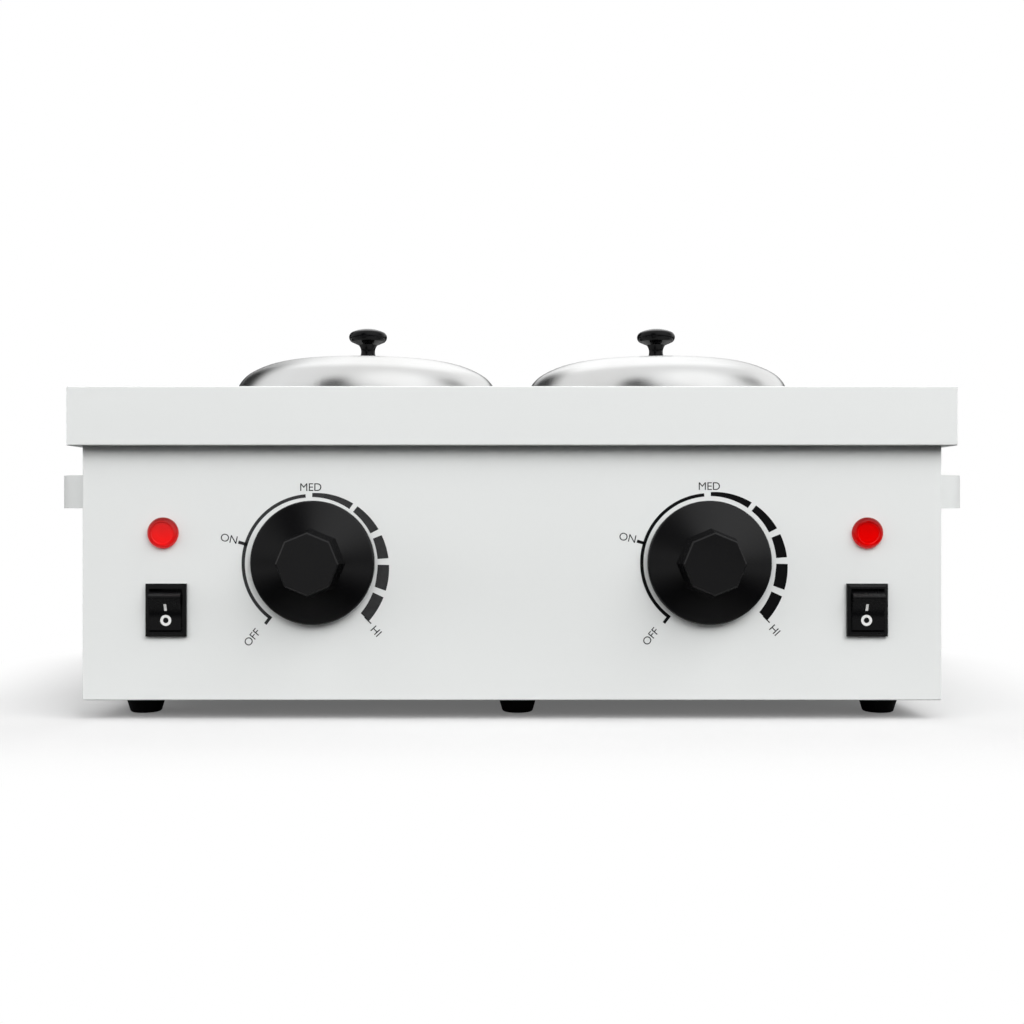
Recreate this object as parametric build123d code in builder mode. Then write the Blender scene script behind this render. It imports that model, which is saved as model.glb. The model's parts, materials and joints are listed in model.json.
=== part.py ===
from build123d import *
import os
from math import cos, radians, sin, sqrt

# Double wax warmer: a white sheet steel box with two heated wells under one cover.
# Millimetres. +Z is up, the control panel faces -Y, and the origin is on the table
# under the middle of the whole object.

# Sheet metal housing
body_width = 358.2
body_depth = 200.0
sheet = 1.2
bend_radius = 0.5
flange_width = 9.0
edge_hole_inset = 5.0
edge_hole_front = 40.0
edge_hole_middle = 102.0
edge_hole_rear = 45.0
panel_gap = 0.5
plate_corner = 2.0

# Top cover, a box lid with hemmed skirts
cover_overhang = 5.0
cover_skirt = 24.5
hem_height = 6.0
hem_edge_share = 0.4

# Heights above the table
foot_height = 8.5
cover_top = 139.0

# Feet
foot_top_radius = 9.0
foot_bottom_radius = 6.5
foot_edge_radius = 1.2
foot_inset = 26.0
foot_side_inset = 19.1
foot_middle_x = 2.4
foot_counterbore_radius = 4.4
foot_counterbore_depth = 5.5

# Wells, pots and lids
well_gap = 9.8
well_inset = 100.0
well_radius = 59.4
well_wall = 1.5
well_depth = 85.0
well_corner_radius = 6.0
well_flange_width = 7.2
well_flange_thickness = 1.2
well_hole_clearance = 0.6
vessel_neck_radius = 0.6
pot_wall_gap = 1.4
pot_floor_gap = 1.4
pot_wall = 1.5
pot_rim_width = 8.5
pot_rim_thickness = 1.5
lid_sheet = 1.0
lid_lip_gap = 0.4
lid_lip_drop = 1.1
lid_dome_inset = 2.2
lid_dome_rise = 18.9
lid_crown_radius = 40.0
lid_crown_drop = 1.9
lid_shoulder_inset = 7.2
lid_shoulder_drop = 7.45

# Lid knobs
knob_radius = 9.35
knob_head_height = 8.0
knob_height = 16.2
knob_neck_radius = 3.4
knob_base_radius = 5.2
knob_base_height = 0.8
knob_neck_flare = 1.2
knob_under_inset = 1.2
knob_under_rise = 1.6
knob_widest_rise = 3.8
knob_crown_inset = 1.6
knob_crown_rise = 6.4
knob_hole_depth = 10.2
lid_screw_radius = 2.0
lid_screw_head = 4.0
lid_screw_head_height = 2.4

# Dials and thermostats
dial_spacing = 164.8
dial_shift = -0.4
dial_height = 65.9
dial_radius = 25.8
dial_stand_off = 1.5
dial_rim = 2.0
dial_rim_radius = 1.0
dial_cone = 3.6
dial_cone_radius = 13.0
dial_proud = 17.4
dial_grip_base_radius = 14.4
dial_grip_face_radius = 12.8
dial_grip_sides = 8
dial_edge = 0.5
dial_grip_root = 0.6
dial_skirt_wall = 1.8
dial_hub_radius = 9.0
shaft_radius = 3.0
shaft_flat = 2.2
shaft_reach = 14.0
shaft_tail = 12.0
shaft_end_gap = 0.5
running_gap = 0.05
thermostat_width = 34.0
thermostat_height = 36.0
thermostat_depth = 20.0
thermostat_corner = 3.0
thermostat_cup_radius = 12.0
thermostat_cup_depth = 4.0
thermostat_cup_taper = 12.0
bushing_radius = 5.0
bushing_proud = 0.9
thermostat_screw_spacing = 28.0
thermostat_screw_bite = 5.0
thermostat_hole_depth = 6.0

# Rocker switches
switch_left_inset = 35.2
switch_right_inset = 31.3
switch_height = 46.2
bezel_side_lip = 0.8
bezel_end_lip = 0.9
bezel_proud = 1.9
bezel_bevel_width = 1.3
bezel_bevel_depth = 0.5
switch_body_width = 15.4
switch_body_height = 20.2
switch_body_depth = 20.0
rocker_side_wall = 0.85
rocker_end_wall = 1.15
rocker_side_gap = 0.2
rocker_pivot_depth = 4.2
rocker_tilt = 11.0
rocker_corner_out = 6.24
rocker_corner_up = 7.22
rocker_dish = 1.42
rocker_dish_radius = 12.0
rocker_end_out = 2.2
rocker_end_up = 8.55
rocker_belly_out = -3.0
rocker_belly_up = 2.5
rocker_edge = 1.0
rocker_pin_radius = 1.5
rocker_pin_length = 0.75
rocker_well_depth = 8.0

# Pilot lamps
lamp_left_inset = 33.7
lamp_right_inset = 31.0
lamp_height = 78.3
lens_radius = 6.5
lens_proud = 2.3
lens_side = 0.6
lens_face_radius = 4.95
lens_shoulder_radius = 2.2
lens_dish_radius = 4.6
lens_dish_depth = 0.3
lens_dish_slope = 0.3
lens_spigot_radius = 4.7
lens_spigot_length = 6.0
lens_bore_radius = 3.3
lens_bore_depth = 0.8
lamp_flange_radius = 7.2
lamp_flange_thickness = 1.5
lamp_barrel_radius = 6.2
lamp_barrel_length = 17.0
neon_radius = 2.6
neon_length = 13.0
neon_tip_gap = 0.4

# Side handles, flat straps bent into a bow
strap_width = 15.0
strap_thickness = 1.8
strap_cover_gap = 10.7
strap_proud = 30.25
strap_front = 45.0
strap_rear = 155.0
strap_bend = 22.0
strap_tab = 13.0
strap_tab_bend = 3.0

# Wells' heaters, brackets and sensors
heater_gap = 0.05
heater_thickness = 2.5
heater_height = 45.0
heater_rise = 8.0
heater_slit = 8.0
heater_ear = 9.0
bracket_sheet = 2.0
bracket_width = 30.0
bracket_span = 80.0
bracket_foot = 15.0
bracket_bend = 3.0
bulb_bracket_gap = 3.0
bulb_radius = 3.0
bulb_length = 32.0
bulb_gap = 0.1
capillary_radius = 0.8
capillary_bend = 3.0
capillary_stand_off = 8.6
capillary_drop = 6.0
fuse_radius = 2.0
fuse_length = 14.0

# Mains inlet on the rear panel
inlet_x = 118.0
inlet_z = 38.0
inlet_flange_width = 50.0
inlet_flange_height = 23.0
inlet_flange_thickness = 3.0
inlet_flange_corner = 5.0
inlet_flange_edge = 0.8
inlet_body_width = 28.0
inlet_body_height = 20.0
inlet_body_depth = 19.0
inlet_body_corner = 3.0
inlet_socket_width = 24.0
inlet_socket_height = 16.0
inlet_socket_depth = 15.5
inlet_screw_spacing = 40.0
inlet_pin_spacing = 14.0
inlet_earth_rise = 4.0
inlet_pin_length = 11.0
inlet_pin_width = 2.0
inlet_pin_height = 4.0
inlet_socket_corner = 4.0

# Vents, terminals and wiring
vent_length = 26.0
vent_width = 3.0
vent_pitch = 7.0
vent_row_gap = 12.0
rear_vent_columns = 13
base_vent_columns = 9
vent_cover_gap = 1.0
blade_width = 4.8
blade_thickness = 0.8
blade_length = 8.0
switch_blade_spacing = 10.0
thermostat_blade_spacing = 16.0
thermostat_blade_rise = 15.0
lamp_blade_spacing = 6.0
block_length = 54.0
block_width = 18.0
block_height = 13.0
block_ways = 6
block_corner = 1.5
block_back = 42.0
block_slot = 1.6
block_screw_hole = 2.2
wire_radius = 1.3
wire_bend = 4.0
wire_rise = 5.0
wire_gap = 0.15

# Screws, nuts and studs
small_screw = 1.45
small_head = 2.9
small_head_height = 1.9
stout_screw = 1.95
stout_head = 3.7
stout_head_height = 2.3
screw_clearance = 0.12
screw_tail = 4.0
base_screw_tail = 3.0
bracket_screw_tail = 1.0
clamp_tail = 1.0
thermostat_head_radius = 3.3
thermostat_head_height = 1.2
nut_across_flats = 5.5
clamp_nut_across_flats = 4.5
nut_height = 2.4
stud_length = 7.0
panel_screw_low = 14.0
panel_screw_below_middle = 6.0
panel_screw_below_cover = 34.0

# Clearances of parts that pass through sheet or moulding
bushing_clearance = 0.2
cutout_clearance = 0.1
spigot_clearance = 0.3
inlet_clearance = 0.2
neon_clearance = 0.2

# Sizes and places that follow from the sizes above
front_y = -(body_depth + cover_overhang - dial_proud) / 2
rear_y = front_y + body_depth
base_z = foot_height
floor_z = base_z + sheet
plate_top = floor_z + sheet
cover_under = cover_top - sheet
skirt_bottom = cover_top - cover_skirt
well_y = front_y + well_inset
well_bottom = cover_top - well_depth
well_flange_radius = well_radius + well_flange_width
well_spacing = 2 * well_flange_radius + well_gap
panel_back = front_y + sheet
cover_width = body_width + 2 * cover_overhang
cover_depth = body_depth + 2 * cover_overhang
middle_y = (front_y + rear_y) / 2
side_x = body_width / 2
foot_places_x = (foot_side_inset - side_x, foot_middle_x, side_x - foot_side_inset)
switch_places_x = (switch_left_inset - side_x, side_x - switch_right_inset)
lamp_places_x = (lamp_left_inset - side_x, side_x - lamp_right_inset)
bezel_width = switch_body_width + 2 * bezel_side_lip
bezel_height = switch_body_height + 2 * bezel_end_lip
rocker_opening_width = switch_body_width - 2 * rocker_side_wall
rocker_opening_height = switch_body_height - 2 * rocker_end_wall
strap_height = skirt_bottom - strap_cover_gap - strap_width / 2
heater_bottom = well_bottom + heater_rise
inner_side = side_x - sheet
sides = (("left", -1), ("right", 1))
dial_x = {s: s * dial_spacing / 2 + dial_shift for name, s in sides}

os.makedirs("parts", exist_ok=True)


def save(piece, name):
    piece.part.label = name
    export_step(piece.part, f"parts/{name}.step")


def front_plane(x, z, out=0.0):
    """Plane on the control panel: X to the right, Y up, Z out of the panel."""
    return Plane(origin=(x, front_y - out, z), x_dir=(1, 0, 0), z_dir=(0, -1, 0))


def front_section(x, z):
    """Half section of a turned piece on the panel: X is radius, Y is out of the panel."""
    return Plane(origin=(x, front_y, z), x_dir=(1, 0, 0), z_dir=(0, 0, -1))


def front_axis(x, z):
    return Axis((x, front_y, z), (0, -1, 0))


def upright_section(x, y):
    """Half section of a turned piece that stands upright: X is radius, Y is height."""
    return Plane(origin=(x, y, 0), x_dir=(1, 0, 0), z_dir=(0, -1, 0))


def upright_axis(x, y):
    return Axis((x, y, 0), (0, 0, 1))


def rear_plane(x, z, out=0.0):
    """Plane on the rear panel: X to the viewer's right, Y up, Z out of the panel."""
    return Plane(origin=(x, rear_y + out, z), x_dir=(-1, 0, 0), z_dir=(0, 1, 0))


def screw(shank_radius, head_radius, head_height, length):
    """A domed screw that stands on the XY plane with its shank below."""
    with BuildPart() as form:
        with BuildSketch(Plane.XZ):
            with BuildLine():
                Polyline((0, head_height), (0, -length), (shank_radius, -length),
                         (shank_radius, 0), (head_radius, 0), (head_radius, head_height / 3))
                TangentArc((0, head_height), (head_radius, head_height / 3), tangent=(1, 0))
            make_face()
        revolve(axis=Axis.Z)
    return form.part


# Housing wrap: front, two sides and their inward flanges, folded from one sheet
wrap_depth = body_depth - sheet
wrap_y = front_y + wrap_depth / 2
wrap_height = cover_under - base_z
thermostat_screw_x = thermostat_screw_spacing / 2
handle_tab_y = (front_y + strap_front + strap_tab / 2, front_y + strap_rear - strap_tab / 2)
edge_hole_y = (front_y + edge_hole_front, front_y + edge_hole_middle, rear_y - edge_hole_rear)
edge_hole_x = side_x - edge_hole_inset
cover_stud_places = [(s * edge_hole_x, y) for s in (-1, 1) for y in edge_hole_y]
base_screw_places = cover_stud_places
wrap_middle = (base_z + cover_under) / 2
panel_screw_heights = (base_z + panel_screw_low, wrap_middle - panel_screw_below_middle,
                       cover_under - panel_screw_below_cover)

with BuildPart() as housing_wrap:
    with BuildSketch(Plane.XY.offset(base_z)):
        with Locations((0, wrap_y)):
            Rectangle(body_width, wrap_depth)
    extrude(amount=wrap_height)
    fillet(housing_wrap.edges(), radius=bend_radius)
    with BuildSketch(Plane.XY.offset(base_z + sheet)):
        with Locations((0, wrap_y)):
            Rectangle(body_width - 2 * sheet, wrap_depth - 2 * sheet)
    extrude(amount=wrap_height - 2 * sheet, mode=Mode.SUBTRACT)
    with BuildSketch(Plane.XY.offset(base_z)):
        with Locations((0, wrap_y + flange_width)):
            Rectangle(body_width - 2 * flange_width, wrap_depth)
    extrude(amount=wrap_height, mode=Mode.SUBTRACT)
    with BuildSketch(Plane.XY.offset(base_z)):
        with Locations(*base_screw_places):
            Circle(stout_screw + screw_clearance)
    extrude(amount=wrap_height, mode=Mode.SUBTRACT)
    for x in dial_x.values():
        with BuildSketch(front_plane(x, dial_height)):
            Circle(bushing_radius + bushing_clearance)
            with GridLocations(thermostat_screw_spacing, 0, 2, 1):
                Circle(stout_screw + screw_clearance)
        extrude(amount=-sheet, mode=Mode.SUBTRACT)
    for x in switch_places_x:
        with BuildSketch(front_plane(x, switch_height)):
            Rectangle(switch_body_width + 2 * cutout_clearance,
                      switch_body_height + 2 * cutout_clearance)
        extrude(amount=-sheet, mode=Mode.SUBTRACT)
    for x in lamp_places_x:
        with BuildSketch(front_plane(x, lamp_height)):
            Circle(lens_spigot_radius + spigot_clearance)
        extrude(amount=-sheet, mode=Mode.SUBTRACT)
    with BuildSketch(Plane.YZ.offset(-side_x)):
        with Locations(*[(y, strap_height) for y in handle_tab_y]):
            Circle(stout_screw + screw_clearance)
    extrude(amount=body_width, mode=Mode.SUBTRACT)
    with BuildSketch(rear_plane(0, 0, -sheet)):
        with Locations(*[(s * edge_hole_x, z) for s in (-1, 1) for z in panel_screw_heights]):
            Circle(small_screw + screw_clearance)
    extrude(amount=-sheet, mode=Mode.SUBTRACT)
save(housing_wrap, "housing_wrap")

# Rear panel with its own top and bottom flanges, vents and the inlet's cut-out
rear_vent_top = skirt_bottom - vent_cover_gap - vent_length / 2
rear_vent_z = (rear_vent_top, rear_vent_top - vent_length - vent_row_gap)
with BuildPart() as rear_panel:
    with BuildSketch(rear_plane(0, wrap_middle)):
        RectangleRounded(body_width, wrap_height, bend_radius)
    extrude(amount=-sheet)
    for z in (base_z, cover_under - sheet):
        with BuildSketch(Plane.XY.offset(z)):
            with Locations((0, rear_y - flange_width / 2)):
                Rectangle(body_width - 2 * flange_width - 2 * panel_gap, flange_width)
        extrude(amount=sheet)
    with BuildSketch(rear_plane(0, 0)):
        with Locations(*[(s * edge_hole_x, z) for s in (-1, 1) for z in panel_screw_heights]):
            Circle(small_screw + screw_clearance)
        for z in rear_vent_z:
            with Locations((0, z)):
                with GridLocations(vent_pitch, 1, rear_vent_columns, 1):
                    SlotOverall(vent_length, vent_width, rotation=90)
        with Locations((-inlet_x, inlet_z)):
            RectangleRounded(inlet_body_width + 2 * inlet_clearance,
                             inlet_body_height + 2 * inlet_clearance, inlet_body_corner)
            with GridLocations(inlet_screw_spacing, 0, 2, 1):
                Circle(small_screw + screw_clearance)
    extrude(amount=-sheet, mode=Mode.SUBTRACT)
save(rear_panel, "rear_panel")

# Base plate that lies on the bottom flanges, with vents under each well
plate_front = panel_back + panel_gap
plate_rear = rear_y - 2 * sheet - panel_gap
plate_y = (plate_front + plate_rear) / 2
foot_places = [(x, y) for y in (front_y + foot_inset, rear_y - foot_inset)
               for x in foot_places_x]
bracket_foot_x = bracket_span / 2 + bracket_foot / 2
bracket_screw_places = [(s * well_spacing / 2 + side * bracket_foot_x, well_y)
                        for name, s in sides for side in (-1, 1)]
with BuildPart() as base_plate:
    with BuildSketch(Plane.XY.offset(floor_z)):
        with Locations((0, plate_y)):
            RectangleRounded(2 * (inner_side - panel_gap), plate_rear - plate_front, plate_corner)
        with Locations(*foot_places, *bracket_screw_places, *base_screw_places):
            Circle(stout_screw + screw_clearance, mode=Mode.SUBTRACT)
        for name, s in sides:
            for row in (-1, 1):
                with Locations((s * well_spacing / 2, well_y + row * (vent_length + vent_row_gap))):
                    with GridLocations(vent_pitch, 1, base_vent_columns, 1):
                        SlotOverall(vent_length, vent_width, rotation=90, mode=Mode.SUBTRACT)
    extrude(amount=sheet)
save(base_plate, "base_plate")

# Top cover
with BuildPart() as top_cover:
    with BuildSketch(Plane.XY.offset(cover_top)):
        with Locations((0, middle_y)):
            Rectangle(cover_width, cover_depth)
    extrude(amount=-cover_skirt)
    upper_edges = top_cover.edges().group_by(Axis.Z)[-1]
    corner_edges = top_cover.edges().filter_by(Axis.Z)
    fillet(upper_edges + corner_edges, radius=bend_radius)
    with BuildSketch(Plane.XY.offset(cover_under)):
        with Locations((0, middle_y)):
            Rectangle(cover_width - 2 * sheet, cover_depth - 2 * sheet)
    extrude(amount=-(cover_skirt - sheet - hem_height), mode=Mode.SUBTRACT)
    with BuildSketch(Plane.XY.offset(skirt_bottom)):
        with Locations((0, middle_y)):
            Rectangle(cover_width - 4 * sheet, cover_depth - 4 * sheet)
    extrude(amount=hem_height, mode=Mode.SUBTRACT)
    lower_edges = top_cover.edges().group_by(Axis.Z)[0]
    fillet(lower_edges, radius=hem_edge_share * sheet)
    with BuildSketch(Plane.XY.offset(cover_top)):
        with Locations(*[(s * well_spacing / 2, well_y) for name, s in sides]):
            Circle(well_radius + well_hole_clearance)
    extrude(amount=-sheet, mode=Mode.SUBTRACT)
save(top_cover, "top_cover")

# Studs welded under the cover and the nuts that hold it down on the flanges
with BuildPart() as cover_studs:
    with BuildSketch(Plane.XY.offset(cover_under)):
        with Locations(*cover_stud_places):
            Circle(small_screw)
    extrude(amount=-stud_length)
save(cover_studs, "cover_studs")

with BuildPart() as cover_nuts:
    with BuildSketch(Plane.XY.offset(cover_under - sheet)):
        with Locations(*cover_stud_places):
            RegularPolygon(nut_across_flats / 2, 6, major_radius=False, rotation=30)
            Circle(small_screw + running_gap, mode=Mode.SUBTRACT)
    extrude(amount=-nut_height)
save(cover_nuts, "cover_nuts")

# Rubber feet, screwed to the base plate from below
foot_names = [f"foot_{row}_{place}" for row in ("front", "rear")
              for place in ("left", "middle", "right")]
for name, (x, y) in zip(foot_names, foot_places):
    with BuildPart() as foot:
        with BuildSketch(upright_section(x, y)):
            with BuildLine():
                Polyline((0, 0), (foot_bottom_radius, 0), (foot_top_radius, base_z),
                         (foot_top_radius, floor_z), (0, floor_z), close=True)
            make_face()
            fillet(vertices().sort_by(Axis.Y)[:2].sort_by(Axis.X)[-1], foot_edge_radius)
        revolve(axis=upright_axis(x, y))
        with BuildSketch(Plane.XY):
            with Locations((x, y)):
                Circle(foot_counterbore_radius)
        extrude(amount=foot_counterbore_depth, mode=Mode.SUBTRACT)
        with BuildSketch(Plane.XY):
            with Locations((x, y)):
                Circle(stout_screw + screw_clearance)
        extrude(amount=floor_z, mode=Mode.SUBTRACT)
    save(foot, name)

upward = [Plane(origin=(x, y, foot_counterbore_depth), x_dir=(1, 0, 0), z_dir=(0, 0, -1))
          for x, y in foot_places]
foot_screw_length = plate_top - foot_counterbore_depth + base_screw_tail
with BuildPart() as foot_screws:
    with Locations(*upward):
        add(screw(stout_screw, stout_head, stout_head_height, foot_screw_length))
save(foot_screws, "foot_screws")

under_flange = [Plane(origin=(x, y, base_z), x_dir=(1, 0, 0), z_dir=(0, 0, -1))
                for x, y in base_screw_places]
with BuildPart() as base_screws:
    with Locations(*under_flange):
        add(screw(stout_screw, stout_head, stout_head_height, 2 * sheet + base_screw_tail))
save(base_screws, "base_screws")

with BuildPart() as panel_screws:
    with Locations(*[rear_plane(-s * edge_hole_x, z) for s in (-1, 1)
                     for z in panel_screw_heights]):
        add(screw(small_screw, small_head, small_head_height, 2 * sheet + screw_tail))
save(panel_screws, "panel_screws")

# Side handles
for name, s in sides:
    skin = s * side_x
    reach = skin + s * strap_proud
    y_front = front_y + strap_front
    y_rear = front_y + strap_rear
    with BuildPart() as handle:
        with BuildSketch(Plane.XY.offset(strap_height - strap_width / 2)):
            with BuildLine():
                FilletPolyline((skin, y_front + strap_tab), (skin, y_front),
                               (reach, y_front), (reach, y_rear),
                               (skin, y_rear), (skin, y_rear - strap_tab),
                               radius=(strap_tab_bend, strap_bend, strap_bend, strap_tab_bend))
                offset(amount=strap_thickness, side=Side.LEFT if s > 0 else Side.RIGHT)
            make_face()
        extrude(amount=strap_width)
        with BuildSketch(Plane.YZ.offset(skin - s * sheet)):
            with Locations(*[(y, strap_height) for y in handle_tab_y]):
                Circle(stout_screw + screw_clearance)
        extrude(amount=s * (strap_thickness + 2 * sheet), mode=Mode.SUBTRACT)
    save(handle, f"{name}_handle")

handle_screw_planes = [
    Plane(origin=(s * (side_x + strap_thickness), y, strap_height),
          x_dir=(0, s, 0), z_dir=(s, 0, 0))
    for name, s in sides for y in handle_tab_y]
with BuildPart() as handle_screws:
    with Locations(*handle_screw_planes):
        add(screw(stout_screw, stout_head, stout_head_height,
                  strap_thickness + sheet + screw_tail))
save(handle_screws, "handle_screws")

# Heating wells, spun aluminium with a flange that lies on the cover
pot_radius = well_radius - well_wall - pot_wall_gap
pot_rim_radius = pot_radius + pot_rim_width
pot_seat = cover_top + well_flange_thickness
pot_bottom = well_bottom + well_wall + pot_floor_gap
pot_top = pot_seat + pot_rim_thickness


def vessel(x, outer, wall, bottom, rim_under, rim_thickness, rim_radius, corner):
    """A flanged round vessel, from its outside radius, wall and flange."""
    rim_top = rim_under + rim_thickness
    with BuildPart() as form:
        with BuildSketch(upright_section(x, well_y)):
            with BuildLine():
                FilletPolyline((0, bottom), (outer, bottom), (outer, rim_under),
                               (rim_radius, rim_under), radius=(corner, vessel_neck_radius))
                Line((rim_radius, rim_under), (rim_radius, rim_top))
                FilletPolyline((rim_radius, rim_top), (outer - wall, rim_top),
                               (outer - wall, bottom + wall), (0, bottom + wall),
                               radius=(wall, corner - wall))
                Line((0, bottom + wall), (0, bottom))
            make_face()
        revolve(axis=upright_axis(x, well_y))
    return form


for name, s in sides:
    x = s * well_spacing / 2
    well = vessel(x, well_radius, well_wall, well_bottom, cover_top,
                  well_flange_thickness, well_flange_radius, well_corner_radius)
    save(well, f"{name}_well")
    pot = vessel(x, pot_radius, pot_wall, pot_bottom, pot_seat,
                 pot_rim_thickness, pot_rim_radius, well_corner_radius)
    save(pot, f"{name}_pot")

# Lids, a spun dome with a flat rim and a lip that drops round the pot's rim
lip_inner = pot_rim_radius + lid_lip_gap
lid_radius = lip_inner + lid_sheet
dome_radius = lid_radius - lid_dome_inset
dome_foot = pot_top + lid_sheet
dome_top = dome_foot + lid_dome_rise

for name, s in sides:
    x = s * well_spacing / 2
    with BuildPart() as lid:
        with BuildSketch(upright_section(x, well_y)):
            with BuildLine():
                crown = TangentArc((0, dome_top), (lid_crown_radius, dome_top - lid_crown_drop),
                                   tangent=(1, 0))
                shoulder_end = (dome_radius - lid_shoulder_inset, dome_top - lid_shoulder_drop)
                shoulder = TangentArc(crown @ 1, shoulder_end, tangent=crown % 1)
                TangentArc(shoulder @ 1, (dome_radius, dome_foot), tangent=shoulder % 1)
                offset(amount=lid_sheet, side=Side.RIGHT)
            make_face()
            with Locations((dome_radius - lid_sheet, pot_top)):
                Rectangle(lid_radius - dome_radius + lid_sheet, lid_sheet,
                          align=(Align.MIN, Align.MIN))
            with Locations((lip_inner, dome_foot)):
                Rectangle(lid_sheet, lid_sheet + lid_lip_drop, align=(Align.MIN, Align.MAX))
        revolve(axis=upright_axis(x, well_y))
        with BuildSketch(Plane.XY.offset(dome_top)):
            with Locations((x, well_y)):
                Circle(lid_screw_radius + screw_clearance)
        extrude(amount=-2 * lid_sheet, mode=Mode.SUBTRACT)
        with BuildSketch(Plane.XY.offset(dome_top - lid_sheet)):
            with Locations((x, well_y)):
                Circle(lid_screw_head + screw_clearance)
        extrude(amount=-lid_sheet, mode=Mode.SUBTRACT)
    save(lid, f"{name}_lid")

# Lid knobs, turned with a waisted neck, each held by a screw from inside the lid
knob_top = dome_top + knob_height
head_under = knob_top - knob_head_height
knob_under_radius = knob_radius - knob_under_inset
knob_crown_radius = knob_radius - knob_crown_inset
knob_crown_z = head_under + knob_crown_rise
knob_neck_top = knob_neck_radius + knob_neck_flare
for name, s in sides:
    x = s * well_spacing / 2
    with BuildPart() as knob:
        with BuildSketch(upright_section(x, well_y)):
            with BuildLine():
                Polyline((0, dome_top), (knob_base_radius, dome_top),
                         (knob_base_radius, dome_top + knob_base_height))
                ThreePointArc((knob_base_radius, dome_top + knob_base_height),
                              (knob_neck_radius, (dome_top + knob_base_height + head_under) / 2),
                              (knob_neck_top, head_under))
                Line((knob_neck_top, head_under), (knob_under_radius, head_under + knob_under_rise))
                ThreePointArc((knob_under_radius, head_under + knob_under_rise),
                              (knob_radius, head_under + knob_widest_rise),
                              (knob_crown_radius, knob_crown_z))
                TangentArc((0, knob_top), (knob_crown_radius, knob_crown_z), tangent=(1, 0))
                Line((0, knob_top), (0, dome_top))
            make_face()
        revolve(axis=upright_axis(x, well_y))
        with BuildSketch(Plane.XY.offset(dome_top)):
            with Locations((x, well_y)):
                Circle(lid_screw_radius + running_gap)
        extrude(amount=knob_hole_depth, mode=Mode.SUBTRACT)
    save(knob, f"{name}_knob")

    with BuildPart() as lid_screw:
        with Locations(Plane(origin=(x, well_y, dome_top - lid_sheet),
                             x_dir=(1, 0, 0), z_dir=(0, 0, -1))):
            add(screw(lid_screw_radius, lid_screw_head, lid_screw_head_height,
                      lid_sheet + knob_height - knob_head_height))
    save(lid_screw, f"{name}_lid_screw")

# Dials: a thin conical skirt with an eight-sided grip, hollow behind round a hub
rim_front = dial_stand_off + dial_rim
cone_top = rim_front + dial_cone
hollow_radius = dial_radius - dial_skirt_wall
for name, s in sides:
    x = dial_x[s]
    with BuildPart() as dial:
        with BuildSketch(front_section(x, dial_height)):
            with BuildLine():
                Polyline((0, dial_stand_off), (dial_hub_radius, dial_stand_off),
                         (dial_hub_radius, cone_top - dial_skirt_wall),
                         (hollow_radius, rim_front - dial_skirt_wall / 2),
                         (hollow_radius, dial_stand_off), (dial_radius, dial_stand_off))
                FilletPolyline((dial_radius, dial_stand_off), (dial_radius, rim_front),
                               (dial_cone_radius, cone_top), (0, cone_top),
                               radius=(dial_rim_radius, 0))
                Line((0, cone_top), (0, dial_stand_off))
            make_face()
        revolve(axis=front_axis(x, dial_height))
        with BuildSketch(front_plane(x, dial_height, cone_top - dial_grip_root)):
            RegularPolygon(dial_grip_base_radius, dial_grip_sides)
        with BuildSketch(front_plane(x, dial_height, dial_proud)):
            RegularPolygon(dial_grip_face_radius, dial_grip_sides)
        loft()
        chamfer(dial.edges().group_by(Axis.Y)[0], length=dial_edge)
        with BuildSketch(front_plane(x, dial_height, dial_stand_off)):
            Circle(shaft_radius + running_gap)
            with Locations((0, shaft_flat + running_gap + shaft_radius)):
                Rectangle(3 * shaft_radius, 2 * shaft_radius, mode=Mode.SUBTRACT)
        extrude(amount=shaft_reach - dial_stand_off, mode=Mode.SUBTRACT)
    save(dial, f"{name}_dial")

    with BuildPart() as shaft:
        with BuildSketch(front_plane(x, dial_height, shaft_reach)):
            Circle(shaft_radius)
        extrude(amount=-(shaft_reach + shaft_tail))
        with BuildSketch(front_plane(x, dial_height, dial_stand_off)):
            with Locations((0, shaft_flat + shaft_radius)):
                Rectangle(3 * shaft_radius, 2 * shaft_radius)
        extrude(amount=shaft_reach, mode=Mode.SUBTRACT)
    save(shaft, f"{name}_thermostat_shaft")

    with BuildPart() as thermostat:
        with BuildSketch(front_plane(x, dial_height, -sheet)):
            RectangleRounded(thermostat_width, thermostat_height, thermostat_corner)
        extrude(amount=-thermostat_depth)
        with BuildSketch(front_plane(x, dial_height, -sheet)):
            Circle(bushing_radius)
        extrude(amount=sheet + bushing_proud)
        with BuildSketch(front_plane(x, dial_height, -sheet - thermostat_depth)):
            Circle(thermostat_cup_radius)
        extrude(amount=-thermostat_cup_depth, taper=thermostat_cup_taper)
        with BuildSketch(front_plane(x, dial_height, bushing_proud)):
            Circle(shaft_radius + running_gap)
        extrude(amount=-(bushing_proud + shaft_tail + shaft_end_gap), mode=Mode.SUBTRACT)
        with BuildSketch(front_plane(x, dial_height, -sheet)):
            with GridLocations(thermostat_screw_spacing, 0, 2, 1):
                Circle(stout_screw + screw_clearance)
        extrude(amount=-thermostat_hole_depth, mode=Mode.SUBTRACT)
    save(thermostat, f"{name}_thermostat")

with BuildPart() as thermostat_screws:
    with Locations(*[front_plane(dial_x[s] + side * thermostat_screw_x, dial_height)
                     for name, s in sides for side in (-1, 1)]):
        add(screw(stout_screw, thermostat_head_radius, thermostat_head_height,
                  sheet + thermostat_screw_bite))
save(thermostat_screws, "thermostat_screws")

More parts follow.
